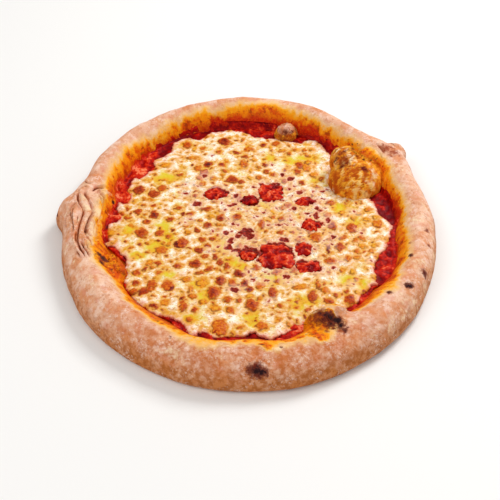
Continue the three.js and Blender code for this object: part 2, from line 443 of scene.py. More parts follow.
# the folded stretch and the wrinkles on the bubbles: places in the frame, half width and depth in mm, warmth
creases = (
    (((80, 192), (81, 197), (84, 202), (87, 208), (88, 213), (85, 221), (82, 229), (82, 236), (86, 243),
      (91, 249)), 2.2, -2.4, 0),
    (((94, 197), (98, 202), (98.5, 209), (95, 218), (91.5, 225), (90.5, 233), (92, 242)), 2.8, -2.4, 0),
    (((73, 209), (74, 218), (73, 227)), 2.2, -1.2, 0),
    (((106, 191), (111, 196), (114, 202)), 1.6, -1.6, 0),
    (((76, 201), (72, 206), (68, 214), (66, 222), (66, 228)), 1.0, 2.8, 0.5),
    (((72, 205), (70.5, 212), (71, 219), (70, 226)), 0.7, 1.4, 0.2),
    (((78.5, 191), (78, 198), (81, 205), (84, 211), (82, 219), (78.5, 228), (77, 238), (79.5, 247),
      (84, 254)), 1.0, 3.4, 0.9),
    (((84, 190), (86, 197), (90.5, 205), (92, 212), (88, 221), (85.5, 229), (86, 237), (90, 244), (94, 248)),
     1.0, 3.4, 0.5),
    (((80.5, 240), (83, 246), (87.5, 252), (89, 256)), 0.8, 2.0, 0.4),
    (((85, 243), (88, 248), (92, 253)), 0.6, 1.5, 0.1),
    (((76, 229), (75, 237), (76, 244)), 0.7, 1.6, 1.0),
    (((75, 249), (78, 254), (80, 258)), 0.7, 1.4, 0.3),
    (((91.5, 191), (95, 188.5), (101, 187.5), (107, 187.5)), 1.1, 3.2, 0.4),
    (((99, 193), (103.5, 197), (103, 205), (100.5, 214), (98, 223), (97, 231), (95.5, 241)), 1.1, 3.2, 0.9),
    (((77, 214), (78, 220), (76, 226)), 0.6, 1.0, 0.1),
    (((84, 172), (88, 176), (92, 175)), 0.7, 0.9, 0.1),
    (((75, 205), (72.5, 212), (73, 221), (73.5, 232)), 0.7, 1.3, 0.3),
    (((69, 213), (66.5, 221), (67, 231)), 0.6, 1.1, 0.1),
    (((90, 216), (86.5, 224), (87, 233), (90.5, 240)), 0.7, 1.4, 0.3),
    (((88, 188), (84.5, 186), (80, 187)), 0.7, 1.2, 0.1),
    (((96.5, 192), (100.5, 199), (100, 207)), 0.7, 1.2, 0.4),
    (((81.5, 241), (85, 249), (90.5, 257)), 0.6, 1.3, 0.3),
    (((78, 243), (81.5, 251), (86, 258)), 0.6, 1.3, 0.2),
    (((83, 180), (88, 183), (95, 182)), 0.7, 0.9, 0.1),
    (((352, 149), (355.5, 153), (358, 159)), 0.9, 2.2, 1.0),
    (((330, 158), (334, 152), (339, 148), (346, 145.5)), 0.7, 1.0, 0.7),
    (((351, 144), (357, 146), (363, 145)), 0.8, 1.4, 0.9),
    (((355, 151), (360, 155), (363, 160)), 0.8, 1.2, 0.9),
    (((362, 159), (368, 161), (376, 158)), 0.8, 1.5, 0.9),
    (((369, 172), (373, 176), (378, 177)), 0.8, 1.0, 0.6),
    (((376, 143), (381, 147), (386, 154)), 1.6, 1.8, 0.1),
    (((304, 337), (312, 331), (318, 327)), 0.8, 1.2, 0.6),
    (((322, 313), (328, 319), (331, 326)), 0.8, 1.4, 0.8),
    (((336, 314), (337, 321), (342, 327)), 0.8, 1.2, 0.7),
    (((103, 248), (106, 256), (111, 263)), 0.8, 1.4, 0.8),
    (((112, 247), (116, 256), (118, 266), (117, 276)), 0.8, 1.2, 0.9),
)
# outlines in the frame: where the orange stain ends on the rim, and where it turns red
stainOutline = (
    (192, 117), (199, 112), (207, 110), (214, 113), (222, 113), (232, 108), (242, 105), (258, 104),
    (275, 106), (290, 110), (302, 117), (314, 120), (322, 128), (332, 134), (345, 140), (358, 142),
    (366, 148), (376, 153), (384, 160), (388, 168), (392, 178), (396, 188), (400, 196), (404, 206),
    (403, 216), (402, 226), (406, 232), (407, 242), (406, 252), (405, 260), (400, 266), (397, 276),
    (393, 286), (381, 293), (372, 300), (362, 307), (354, 312), (340, 320), (330, 336), (310, 340),
    (296, 341), (287, 345), (276, 347), (262, 342), (250, 343), (238, 343), (222, 344), (205, 344),
    (192, 342), (180, 335), (168, 327), (155, 321), (143, 312), (134, 306), (126, 298), (118, 285),
    (112, 277), (104, 268), (96, 258), (93, 248), (97, 240), (99, 226), (101, 212), (104, 203), (108, 196),
    (107, 188), (109, 178), (113, 168), (119, 160), (124, 153), (130, 148), (138, 144), (150, 141),
    (158, 139), (166, 131), (174, 125), (182, 120), (188, 119),
)
redOutline = (
    (212, 117), (222, 119), (235, 117), (250, 118), (262, 118), (272, 121), (298, 124), (310, 127),
    (318, 132), (326, 139), (334, 146), (372, 172), (380, 184), (386, 190), (392, 199), (398, 206),
    (401, 214), (399, 222), (396, 230), (393, 238), (397, 246), (397, 258), (395, 268), (391, 278),
    (384, 284), (373, 285), (371, 290), (368, 297), (362, 303), (355, 309), (349, 314), (343, 313),
    (322, 318), (302, 330), (295, 335), (288, 339), (275, 342), (262, 337), (250, 337), (240, 341),
    (225, 342), (205, 341), (195, 338), (187, 333), (177, 327), (170, 318), (150, 311), (136, 301),
    (127, 290), (124, 280), (128, 262), (113, 249), (103, 243), (103, 232), (106, 222), (110, 215),
    (118, 204), (115, 194), (115, 184), (120, 178), (130, 172), (136, 162), (146, 153), (157, 149),
    (164, 143), (173, 137), (190, 133), (205, 130), (211, 124),
)
# marks on the dough: place in the frame, radius in mm, strength; amber ones carry the stain over a bubble
marks = {
    "char": (
        (257, 371, 6.0, 1.0), (263, 372, 4.5, 1.0), (252, 370, 4.5, 0.9), (258, 368, 4.0, 0.8),
        (250, 367, 4.0, 0.6), (409, 285, 3.4, 1.0), (390, 292, 2.8, 0.9), (411, 255, 2.4, 0.9),
        (425, 275, 4.0, 0.75), (427, 231, 3.0, 0.5), (429, 246, 3.0, 0.5), (113, 203, 1.8, 1.0),
        (57.5, 214, 2.4, 0.9), (99, 254, 3.6, 0.9), (103, 258, 4.0, 1.0), (101, 262, 3.4, 0.9),
        (107, 254, 1.4, 0.9), (112, 263, 1.3, 0.9), (116, 262, 1.3, 0.8), (112, 270, 1.6, 0.7),
        (113, 256, 1.2, 0.7), (114, 250, 1.0, 0.7), (120, 258, 1.0, 0.6), (118, 272, 1.2, 0.6),
        (314, 316, 3.0, 0.55), (320, 313, 3.5, 0.75), (318, 322, 2.6, 0.6), (326, 314, 4.5, 0.85),
        (331, 317, 5.0, 1.0), (337, 321, 5.0, 1.0), (341, 326, 4.0, 1.0), (346, 330, 2.8, 0.9),
        (324, 321, 4.0, 0.75), (331, 325, 4.0, 0.8), (335, 329, 3.0, 0.6), (261.5, 345, 2.6, 0.7),
        (281, 348, 1.6, 0.8), (158, 321, 1.8, 0.8), (171, 337, 2.4, 0.5), (338, 158, 2.2, 0.8),
        (345, 151, 2.0, 0.8), (342, 168, 2.4, 0.7), (349.5, 176.5, 1.4, 0.8), (363, 160, 1.8, 0.9),
        (371, 159.5, 1.3, 0.7), (376.5, 159, 1.2, 0.7), (334, 161, 2.0, 0.6), (347, 164, 2.2, 0.6),
        (353, 151, 1.2, 0.7), (345, 187, 1.6, 0.5), (325, 167, 1.4, 0.6), (286, 133, 3.0, 0.75),
        (291, 131, 2.2, 0.75), (283, 138, 2.4, 0.6), (392, 151, 2.4, 0.25), (378, 287, 1.8, 0.8),
        (381, 290, 1.6, 0.6), (351, 144, 1.6, 0.6), (358, 143, 1.4, 0.6), (352, 147.5, 1.4, 0.8),
        (354, 151, 1.5, 0.9), (356, 154.5, 1.5, 0.9), (357.5, 158, 1.4, 0.8), (339, 150, 1.6, 0.5),
        (336, 170, 2.0, 0.5), (327, 176, 1.5, 0.4), (352, 181, 1.6, 0.4),
    ),
    "toast": (
        (281, 136, 3.5, 0.8), (103, 295, 7, 0.45), (427, 231, 4, 0.8), (429, 246, 4, 0.8),
        (424, 274, 5, 0.9), (410, 242, 2.5, 0.7), (426, 218, 2.5, 0.5), (352, 150, 4, 0.7),
        (358, 158, 4, 0.7), (337, 175, 5, 0.6), (336, 195, 3, 0.6), (351, 199, 3, 0.6), (366, 193, 3, 0.6),
        (324, 330, 6, 0.8), (308, 332, 5, 0.6), (374, 150, 4, 0.5), (384, 162, 4, 0.4), (343, 161, 9, 1.0),
        (340, 154, 7, 0.8), (347, 168, 7, 0.7), (317, 316, 11, 1.0), (329, 322, 10, 1.0),
        (316, 334, 6, 0.7), (342, 332, 6, 0.7), (104, 260, 9, 0.8), (112, 266, 7, 0.5), (284, 140, 7, 0.95),
        (289, 136, 4, 0.9), (386, 147, 10, 0.9), (393, 152, 9, 0.85), (328, 180, 4, 0.5),
        (345, 187, 4, 0.5), (360, 200, 6, 0.5), (332, 196, 5, 0.5), (254, 368, 11, 0.6), (186, 126, 8, 0.4),
        (268, 345, 6, 0.5), (150, 355, 8, 0.3),
    ),
    # pale: cream dough and flour, and painted highlights on the big blister and the near blister's top
    "pale": (
        (88, 208, 7, 0.9), (92, 226, 7, 0.9), (98, 212, 6, 0.9), (86, 235, 6, 0.8), (84, 198, 6, 0.8),
        (70, 212, 7, 0.6), (68, 226, 7, 0.6), (73, 240, 7, 0.5), (92, 243, 5, 0.8), (106, 192, 6, 0.8),
        (78, 220, 5, 0.6), (346, 151, 2.4, 1.0), (348.5, 155, 2.8, 1.0), (351, 160, 2.8, 1.0),
        (352, 165, 2.2, 0.8), (333, 318, 1.3, 1.0), (329, 322, 1.2, 0.9), (338, 316, 1.2, 0.8),
        (347, 318, 4.0, 0.8), (352, 322, 4.0, 0.7), (371, 188, 3.6, 0.5), (334, 190, 2.2, 0.7),
        (345, 194, 2.4, 0.4), (356, 190, 2.4, 0.5), (355, 161, 3.2, 0.9), (353.5, 156, 2.4, 0.9),
        (350, 151, 1.8, 0.8), (369, 164, 3.4, 0.7), (373, 169, 4.2, 0.8), (375, 176, 4.4, 0.9),
        (374, 183, 4.2, 0.8), (367, 180, 3.6, 0.7), (362, 176, 2.6, 0.6), (330, 160, 1.8, 0.7),
        (333, 155, 1.8, 0.8), (336.5, 151.5, 1.8, 0.8), (341, 148.5, 1.8, 0.9), (346, 147, 1.8, 0.8),
        (343, 180, 3.4, 0.5), (333, 188, 3.0, 0.4), (350, 188, 3.0, 0.5), (327, 325, 1.8, 0.6),
        (97, 205, 5, 0.6), (96, 214, 5, 0.7), (92, 224, 4, 0.8), (91, 233, 4, 0.8), (84, 203, 3, 0.5),
        (85, 212, 3, 0.5), (83, 226, 3, 0.5), (110, 195, 4, 0.6), (340, 312, 3.0, 0.6), (360, 315, 6, 0.5),
        (86, 184, 6, 0.6), (400, 170, 12, 0.6), (168, 352, 5, 0.7), (176, 356, 5, 0.7), (184, 360, 5, 0.6),
        (160, 350, 4, 0.6), (94, 285, 8, 0.5), (425, 206, 8, 0.6), (431, 223, 8, 0.6), (434, 240, 8, 0.6),
        (434, 256, 8, 0.6), (429, 270, 8, 0.5), (415, 220, 14, 0.6), (418, 262, 12, 0.6),
        (405, 300, 9, 0.5), (415, 303, 9, 0.6), (404, 315, 10, 0.6), (391, 326, 10, 0.6),
        (376, 335, 9, 0.5), (425, 289, 8, 0.6), (74, 262, 4, 0.6), (80, 268, 4, 0.6), (90, 276, 4, 0.6),
        (66, 250, 9, 0.5), (220, 356, 14, 0.35), (402, 186, 10, 0.5), (160, 122, 14, 0.4),
        (216, 346, 5, 0.6), (226, 346, 5, 0.7), (237, 345, 4, 0.6), (276, 350, 5, 0.7), (290, 347, 4, 0.5),
        (152, 318, 3, 0.5), (134, 304, 3, 0.5), (180, 337, 3, 0.4), (322, 309, 2, 0.5), (331, 313, 2, 0.6),
    ),
    # dark red painted shade for holes in the big blister that the mesh does not have
    "holeShade": (
        (364.4, 169.4, 4.6, 1.0), (367, 201, 2.6, 0.7), (357, 200, 3.0, 0.5), (374, 196, 3.4, 0.8),
    ),
    "clean": (
        (347, 314, 7, 0.9),
    ),
    "amber": (
        (108, 256, 9, 1.0), (113, 266, 10, 1.0), (118, 276, 9, 1.0), (306, 329, 8, 1.0), (315, 333, 8, 1.0),
        (323, 336, 6, 0.9), (312, 322, 8, 1.0), (322, 318, 8, 1.0), (330, 314, 7, 0.9), (298, 337, 7, 0.9),
        (290, 341, 5, 0.8), (318, 327, 8, 1.0), (326, 326, 6, 0.8), (246, 341, 5, 0.8), (253, 339, 6, 0.9),
        (262, 344, 6, 0.8), (270, 346, 6, 0.7),
    ),
    "golden": (
        (350, 175, 27, 1.0), (340, 185, 22, 1.0), (360, 190, 20, 1.0), (362, 157, 8, 0.6),
        (196, 118, 10, 0.4), (335, 153, 13, 0.9), (345, 147, 12, 0.9), (332, 164, 12, 0.9),
    ),
}


def sectionLine():
    return smoothLine(crust["section"], crust["sectionFaces"])


def leanShare(share, lean):
    up = np.clip(share / crust["leanReach"], 0, 1)
    return share + np.where(share > 0, 4 * lean * up * (1 - up), 0)


def shapeDough(points):
    angle = angleOf(points)
    radius = np.hypot(points[:, 0], points[:, 1])
    inner, outer = wellRadius(angle), outlineRadius(angle)
    across = (radius - crust["nominalWell"]) / (crust["nominalOutline"] - crust["nominalWell"])
    across = leanShare(across, bulge(base["lean"], angle))
    placed = np.where(across <= 0, radius * inner / crust["nominalWell"], inner + across * (outer - inner))
    low = base["floorHeight"]
    z = np.where(points[:, 2] > low, low + (points[:, 2] - low) * crestGrowth(angle), points[:, 2])
    a = np.radians(angle)
    return np.column_stack([placed * np.cos(a), placed * np.sin(a), z])


def wallHeight(flat):
    # the height of the well's floor and wall, without bubbles
    angle = angleOf(flat)
    inner, outer = wellRadius(angle), outlineRadius(angle)
    wanted = (np.hypot(flat[:, 0], flat[:, 1]) - inner) / (outer - inner)
    lean = bulge(base["lean"], angle)
    share = wanted.copy()
    for _ in range(6):
        share += 0.7 * (wanted - leanShare(share, lean))
    rim = sectionLine()
    rim = rim[:np.argmax(rim[:, 1]) + 1]
    at = (rim[:, 0] - crust["nominalWell"]) / (crust["nominalOutline"] - crust["nominalWell"])
    low = base["floorHeight"]
    return low + (np.interp(share, at, rim[:, 1]) - low) * crestGrowth(angle)


def turnSection(section, steps):
    bm = bmesh.new()
    verts = [bm.verts.new((radius, 0, z)) for radius, z in section]
    edges = [bm.edges.new(pair) for pair in zip(verts, verts[1:])]
    bmesh.ops.spin(bm, geom=verts + edges, cent=(0, 0, 0), axis=(0, 0, 1), angle=2 * math.pi, steps=steps,
                   use_merge=True, use_duplicate=False)
    bmesh.ops.remove_doubles(bm, verts=bm.verts, dist=0.001)
    bmesh.ops.recalc_face_normals(bm, faces=bm.faces)
    return bm


def inflate(points, centre, halves, turn, fillet):
    # pushes the dough out to the bubble's skin, along rays from its lowest point
    a = math.radians(turn)
    turned = np.array([[math.cos(a), math.sin(a), 0], [-math.sin(a), math.cos(a), 0], [0, 0, 1]])
    pole = np.array(centre) - (0, 0, 0.95 * halves[2])
    ray = points - pole
    distance = np.linalg.norm(ray, axis=1)
    ray /= distance[:, None] + 1e-9
    start = turned @ (pole - centre) / halves
    way = (ray @ turned.T) / halves
    square = (way * way).sum(1)
    along = way @ start
    reach = (-along + np.sqrt(np.maximum(along ** 2 - square * (start @ start - 1), 0))) / square
    reach *= 1 + 0.07 * lumps(ray * 9 + centre, 6, 2, 3.1)
    pushed = softMax(distance, reach, fillet)
    above = ray[:, 2] > 0.05
    return np.where(above[:, None], pole + ray * pushed[:, None], points)


def onBubble(points, number):
    # 1 on that bubble's skin, falling to 0 a little way outside it
    centre, halves, turn, _ = bubbles[number]
    a = math.radians(turn)
    away = points - centre
    across = away[:, 0] * math.cos(a) + away[:, 1] * math.sin(a)
    along = away[:, 1] * math.cos(a) - away[:, 0] * math.sin(a)
    reach = np.sqrt((across / halves[0]) ** 2 + (along / halves[1]) ** 2 + (away[:, 2] / halves[2]) ** 2)
    return softStep(reach, 1.22, 1.08)


def nearBubble(points, centre, halves, margin):
    away = (points[:, :2] - centre[:2]) / (margin * max(halves[:2]))
    return ((away ** 2).sum(1) < 1) & (points[:, 2] > 3.5)


def inflateBubbles(bm):
    for centre, halves, turn, fillet in bubbles:
        bm.verts.ensure_lookup_table()
        bm.verts.index_update()
        around = nearBubble(pointsOf(bm.verts), centre, halves, 1.6)
        close = [bm.verts[i] for i in np.nonzero(around)[0]]
        for _ in range(5):
            points = inflate(pointsOf(close), centre, halves, turn, fillet)
            movePoints(close, points)
            inner = nearBubble(points, centre, halves, 1.12)
            grown, split = refine(bm, [v for v, n in zip(close, inner) if n], crust["bubbleFace"])
            close = [v for v in dict.fromkeys(close + grown) if v.is_valid]
            if not split:
                break


def refineFolds(bm):
    for _ in range(2):
        points = pointsOf(bm.verts)
        bm.verts.ensure_lookup_table()
        right, middle, half, low = crust["foldedStretch"]
        folded = (points[:, 0] < right) & (np.abs(points[:, 1] - middle) < half) & (points[:, 2] > low)
        refine(bm, [bm.verts[i] for i in np.nonzero(folded)[0]], crust["foldFace"])


def creaseRelief(points, tree):
    # how far the creases sink the dough and swell it beside them, how far into one each point lies, painted
    # as shade, and its warmth; a crease of negative depth is a plain ridge without painted shade
    sunk, shade, warm = np.zeros(len(points)), np.zeros(len(points)), np.zeros(len(points))
    for spots, width, depth, warmth in creases:
        line = onSkin(tree, smoothLine(spots, 3 * len(spots)))
        low, high = line.min(0) - 9, line.max(0) + 9
        near = np.nonzero(((points > low) & (points < high)).all(1))[0]
        at = points[near]
        waved = at + 0.5 * np.column_stack([lumps(at, 6, 2, 5), lumps(at, 6, 2, 9), lumps(at, 6, 2, 14)])
        away = lineDistance(waved, line)
        ends = np.minimum(np.linalg.norm(waved - line[0], axis=1), np.linalg.norm(waved - line[-1], axis=1))
        taper = softStep(ends, 0, 5)
        pinch = np.exp(-(away / width) ** 2) * (0.25 + 0.75 * taper)
        if depth < 0:
            sunk[near] += depth * pinch
            continue
        lips = np.exp(-((away - 2.2 * width) / width) ** 2) * taper
        sunk[near] += depth * (pinch - 0.3 * lips)
        deeper = pinch > shade[near]
        warm[near] = np.where(deeper, warmth, warm[near])
        shade[near] = np.maximum(shade[near], pinch)
    return np.clip(sunk, -3.2, 3.6), shade, warm


def pleats(points, golden):
    # upright pleats and crumples on the bubbles' golden skin
    on = softStep(golden, 0.35, 0.75)
    wave = np.zeros(len(points))
    live = np.nonzero(on > 0)[0]
    x, y, z = points[live].T
    broad = np.column_stack([x / 3.4 + 0.3 * np.sin(z / 3), (y + z) / 26, 0 * z])
    narrow = np.column_stack([x / 1.7 + 0.4 * np.sin(z / 2.5), (y + z) / 13, 0 * z])
    wave[live] = 0.6 * lumps(broad, 1, 2, 4) + 0.7 * lumps(narrow, 1, 2, 8)
    wave[live] += 0.4 * lumps(points[live], 5, 3, 12)
    return on * wave


def spotShade(points, landed, radius, strength):
    away = np.linalg.norm(points - landed, axis=1) / radius
    return strength * np.clip(1.5 - away, 0, 1.5) / 1.5


def paintMarks(points, tree):
    warp = [lumps(points, 6, 3, seed) for seed in (31, 37, 41)]
    points = points + 2.0 * np.column_stack(warp)
    layers = {}
    for kind, spots in marks.items():
        shade = np.zeros(len(points))
        for x, y, radius, strength in spots:
            landed = onSkin(tree, [(x, y)])
            if len(landed):
                shade = np.maximum(shade, spotShade(points, landed[0], radius, strength))
        layers[kind] = shade
    return layers


def growFolds(bm):
    # swells the dough unevenly, then presses in the creases and raises the pleats
    points, normals = pointsOf(bm.verts), normalsOf(bm)
    free = softStep(np.hypot(points[:, 0], points[:, 1]) - wellRadius(angleOf(points)), 0, 10)
    outer = softStep(points[:, 2], 0.8, 5) * (0.25 + 0.75 * free)
    swell = sum(amount * lumps(points, size, octaves, 2 + size) for size, octaves, amount in crust["swells"])
    points = points + normals * (outer * swell)[:, None]
    movePoints(bm.verts, points)
    tree = BVHTree.FromBMesh(bm)
    normals = normalsOf(bm)
    sunk, crease, warm = creaseRelief(points, tree)
    pleat = pleats(points, paintMarks(points, tree)["golden"])
    points = points - normals * (sunk - crust["pleatDepth"] * pleat)[:, None]
    points[:, 2] = np.maximum(points[:, 2], 0)
    movePoints(bm.verts, points)
    return points, normals, {"crease": crease, "warm": warm, "pleat": pleat}


def paintDough(points, normals, tree):
    # millimetres inside the stain and the red, and how strong each of the other marks is
    flat, z = points[:, :2], points[:, 2]
    outward = normals[:, 2] > -0.3
    hidden = softStep(points[:, 1], *crust["hiddenWall"])
    paint = paintMarks(points, tree)
    for name, outline in (("stain", stainOutline), ("red", redOutline)):
        level, slope = crust["wallLimits"][name]
        inside = np.where(outward, insideOutline(flat, onSkin(tree, outline)[:, :2]), crust["unseen"])
        paint[name] = np.minimum(inside, (level - z) * slope + (1 - hidden) * crust["open"])
    for number in crust["goldenBubbles"]:
        paint["golden"] = np.maximum(paint["golden"], onBubble(points, number))
    paint["red"] -= crust["redKeptOff"]["golden"] * softStep(paint["golden"], 0.3, 0.6)
    farBubble = onBubble(points, crust["farBubble"])
    toasted, golden = crust["farBubbleTones"]
    paint["toast"] = np.maximum(paint["toast"], toasted * farBubble)
    paint["golden"] = np.maximum(paint["golden"], golden * farBubble * softStep(z, 18, 13))
    # amber marks carry the stain over the bubbles, and clean ones keep it off
    amber = paint.pop("amber")
    full, short = crust["amberReach"]
    stain = np.maximum(paint["stain"], full * amber + short)
    paint["stain"] = np.minimum(stain, 3.5 + 40 * np.maximum(0.6 - amber, 0))  # keeps an amber mark orange
    paint["red"] -= crust["redKeptOff"]["amber"] * amber
    clean = np.maximum(paint.pop("clean"), farBubble)
    for name in ("stain", "red"):
        paint[name] -= crust["cleanDepth"] * clean
    a = np.radians(angleOf(points))
    paint["streak"] = lumps(np.column_stack([26 * np.cos(a), 26 * np.sin(a), z / 13]), 1, 3, 6)
    return paint


def buildCrust():
    inside = [(r, base["floorHeight"]) for r in crust["wellRings"]]
    under = [(r, 0) for r in crust["baseRings"]]
    bm = turnSection(inside + sectionLine().tolist() + under, crust["turnFaces"])
    movePoints(bm.verts, shapeDough(pointsOf(bm.verts)))
    print("crust turned:", len(bm.verts), "points")
    inflateBubbles(bm)
    refineFolds(bm)
    print("bubbles raised and folds refined:", len(bm.verts), "points")
    points, normals, folds = growFolds(bm)
    print("dough swollen and creased")
    paint = paintDough(points, normals, BVHTree.FromBMesh(bm)) | folds
    return addPiece("bakedDough", bm, crustFinish(), "crust", paint)


def plainDough(tree, mottle, patch):
    # pale and dusted above, browner low down, with painted shade on the near side
    wide = mask(tree, grain(tree, 38, 2), 0.36, 0.64)
    # painted shade on the near side, mottled
    nearShade = count(tree, "MULTIPLY", mask(tree, depthways(tree), -95 * mm, -150 * mm),
                  mask(tree, mottle, 0.32, 0.64, 0.85))
    brown = count(tree, "MULTIPLY", mask(tree, height(tree), 22 * mm, 8 * mm),
                  mask(tree, mottle, 0.42, 0.6, 0.6))
    dusting = count(tree, "MULTIPLY", mask(tree, grain(tree, 1.7, 4, 0.75, 0.2, shift=4), 0.52, 0.62),
                    mask(tree, grain(tree, 13, 4, 0.6, shift=47), 0.48, 0.6, 0.45))
    return coated(
        tree, blend(tree, wide, tint(240, 192, 160), tint(226, 168, 134)),
        (mask(tree, patch, 0.45, 0.63, 0.75), (218, 132, 74)),
        (mask(tree, mottle, 0.5, 0.66, 0.55), (202, 126, 84)),
        (mask(tree, grain(tree, 3.2, 4, 0.7, 0.8, shift=19), 0.56, 0.66, 0.6), (188, 100, 48)),
        (mask(tree, grain(tree, 9, 6, 0.75, 0.2, shift=8), 0.5, 0.62, 0.65), (250, 216, 196)),
        (mask(tree, grain(tree, 8, 4, shift=23), 0.54, 0.66, 0.5), (224, 144, 114)),
        (nearShade, (196, 106, 46)),
        (mask(tree, height(tree), 22 * mm, 7 * mm, 0.7), (184, 112, 52)),
        (brown, (152, 82, 34)),
        (dusting, (255, 234, 220)),
    )


def foldShade(tree, dough):
    # painted shade in the creases, mixed with an orange stain in the warm ones, darkest at their bottoms
    crease = painted(tree, "crease")
    fold = blend(tree, painted(tree, "warm"), tint(168, 100, 66), tint(190, 94, 26))
    dough = blend(tree, mask(tree, crease, 0.25, 0.8, 0.85), dough, fold)
    return coated(tree, dough, (mask(tree, crease, 0.72, 0.98, 0.8), (104, 42, 18)))


def stainedDough(tree, dough, stain, run):
    # orange where sauce and oil have boiled up the wall, with a yellow fringe
    streak = count(tree, "ADD", grain(tree, 5, 4, 0.7, 0.8, shift=11), scaled(tree, run, 0.2))
    scorch = count(tree, "ADD", grain(tree, 4, 4, 0.7, 0.6, shift=29), scaled(tree, run, 0.16))
    orange = coated(
        tree, blend(tree, mask(tree, streak, 0.36, 0.64), tint(252, 148, 6), tint(226, 86, 2)),
        (mask(tree, grain(tree, 3.4, 4, 0.7, 0.8, shift=14), 0.5, 0.66, 0.75), (250, 164, 4)),
        (mask(tree, stain, 3.0, 9.0, 0.65), (206, 66, 2)),
        (mask(tree, scorch, 0.56, 0.68, 0.75), (150, 44, 4)),
    )
    orange = blend(tree, mask(tree, stain, 0.0, 3.4), tint(252, 176, 30), orange)
    dough = coated(tree, dough, (mask(tree, stain, -6.0, -0.5, 0.6), (248, 208, 136)))
    return blend(tree, mask(tree, stain, -2.0, 1.4), dough, orange)


def reddenedDough(tree, dough, fine):
    red = ragged(tree, painted(tree, "red"), 6, 1.3, shift=2)
    red = ragged(tree, red, 2.0, 0.6, shift=9)
    scarlet = blend(tree, mask(tree, fine, 0.35, 0.65), tint(184, 28, 4), tint(214, 54, 6))
    dough = blend(tree, mask(tree, red, -1.8, 1.0), dough, scarlet)
    return coated(tree, dough, (mask(tree, red, 1.0, 4.5, 0.9), (100, 4, 6)))


def goldenSkin(tree, mottle):
    pleat = painted(tree, "pleat")
    return coated(
        tree, blend(tree, mask(tree, mottle, 0.4, 0.6), tint(242, 166, 42), tint(216, 112, 14)),
        (mask(tree, grain(tree, 3, 4, 0.7, 0.6, shift=33), 0.54, 0.66, 0.65), (176, 72, 6)),
        # painted shade in the pleats' hollows and painted highlights on their ridges
        (mask(tree, pleat, 0.0, -0.4, 0.9), (178, 72, 6)),
        (mask(tree, pleat, 0.08, 0.5, 0.75), (252, 210, 128)),
    )


def markedDough(tree, dough, fine):
    toast = ragged(tree, painted(tree, "toast"), 3.6, 0.45, shift=25)
    # pale marks are cream dough and flour, and painted highlights on the blisters
    pale = ragged(tree, painted(tree, "pale"), 3.2, 0.4, shift=27)
    # painted shade of holes in the blister, dark red
    holeShade = count(tree, "ADD", painted(tree, "holeShade"), count(tree, "MULTIPLY", fine, 0.3))
    char = count(tree, "ADD", painted(tree, "char"), scaled(tree, fine, 0.7, -0.17))
    return coated(
        tree, dough,
        (mask(tree, toast, 0.3, 0.9, 0.9), (150, 56, 18)),
        (mask(tree, pale, 0.3, 0.9, 0.8), (250, 222, 180)),
        (mask(tree, holeShade, 0.5, 0.9), (104, 22, 16)),
        (mask(tree, char, 0.34, 0.7, 0.9), (104, 34, 22)),
        (mask(tree, char, 0.66, 0.98), (42, 18, 22)),
    )


def crustFinish():
    finish, tree, shader = newFinish("bakedDough", 0.75)
    patch, mottle = grain(tree, 13, 4, 0.6, 0.3, shift=3), grain(tree, 4.5, 4, 0.65, 0.3, shift=7)
    fine, run = grain(tree, 1.5, 3, 0.6, shift=5), painted(tree, "streak")
    stain = count(tree, "ADD", painted(tree, "stain"), scaled(tree, run, 1.9, 0.7))
    stain = ragged(tree, stain, 11, 2.0, shift=1)
    stain = ragged(tree, stain, 2.6, 1.0, shift=6)
    golden = count(tree, "ADD", painted(tree, "golden"), count(tree, "MULTIPLY", patch, 0.25))
    golden = mask(tree, golden, 0.45, 0.7)
    dough = foldShade(tree, plainDough(tree, mottle, patch))
    dough = reddenedDough(tree, stainedDough(tree, dough, stain, run), fine)
    dough = blend(tree, golden, dough, goldenSkin(tree, mottle))
    tree.links.new(markedDough(tree, dough, fine), shader.inputs["Base Color"])
    shader.inputs["Specular IOR Level"].default_value = 0.1
    wet = count(tree, "SUBTRACT", mask(tree, stain, 0.0, 6.0), golden)
    wet = addNode(tree, "MapRange", {"Value": wet, "To Min": 0.8, "To Max": 0.42})
    tree.links.new(wet.outputs[0], shader.inputs["Roughness"])
    bumps = count(tree, "ADD", fine, scaled(tree, mottle, 1.6))
    setRelief(tree, shader, count(tree, "ADD", bumps, grain(tree, 0.8, 2, shift=2)), 0.42)
    return finish


sauce = {
    "turnFaces": 560,
    "nominalEdge": 121,
    "bottom": 5.2,
    "top": 7.7,
    "skin": 0.9,  # how thick it lies on the wall
    "surface": (0.34, 0.43, 0.42, 3.0),  # contrast, lift, roughness and grit
    "middleRings": (0, 40, 66, 80),
    "outerRings": (86, 46),  # where the close rings start, and their number
    "lowerRings": (119, 117, 115, 112, 60, 0),
    "reach": 1.0,  # how far past the red line it goes
    # angle, spread and amount: where it is darker, and lighter
    "shade": (
        (82, 26, 0.45), (16, 11, 0.65), (-22, 5, 0.2), (-17, 7, -0.3), (-50, 12, -0.4), (121, 7, 0.6),
        (155, 17, -0.55), (-93, 8, 0.2),
    ),
}


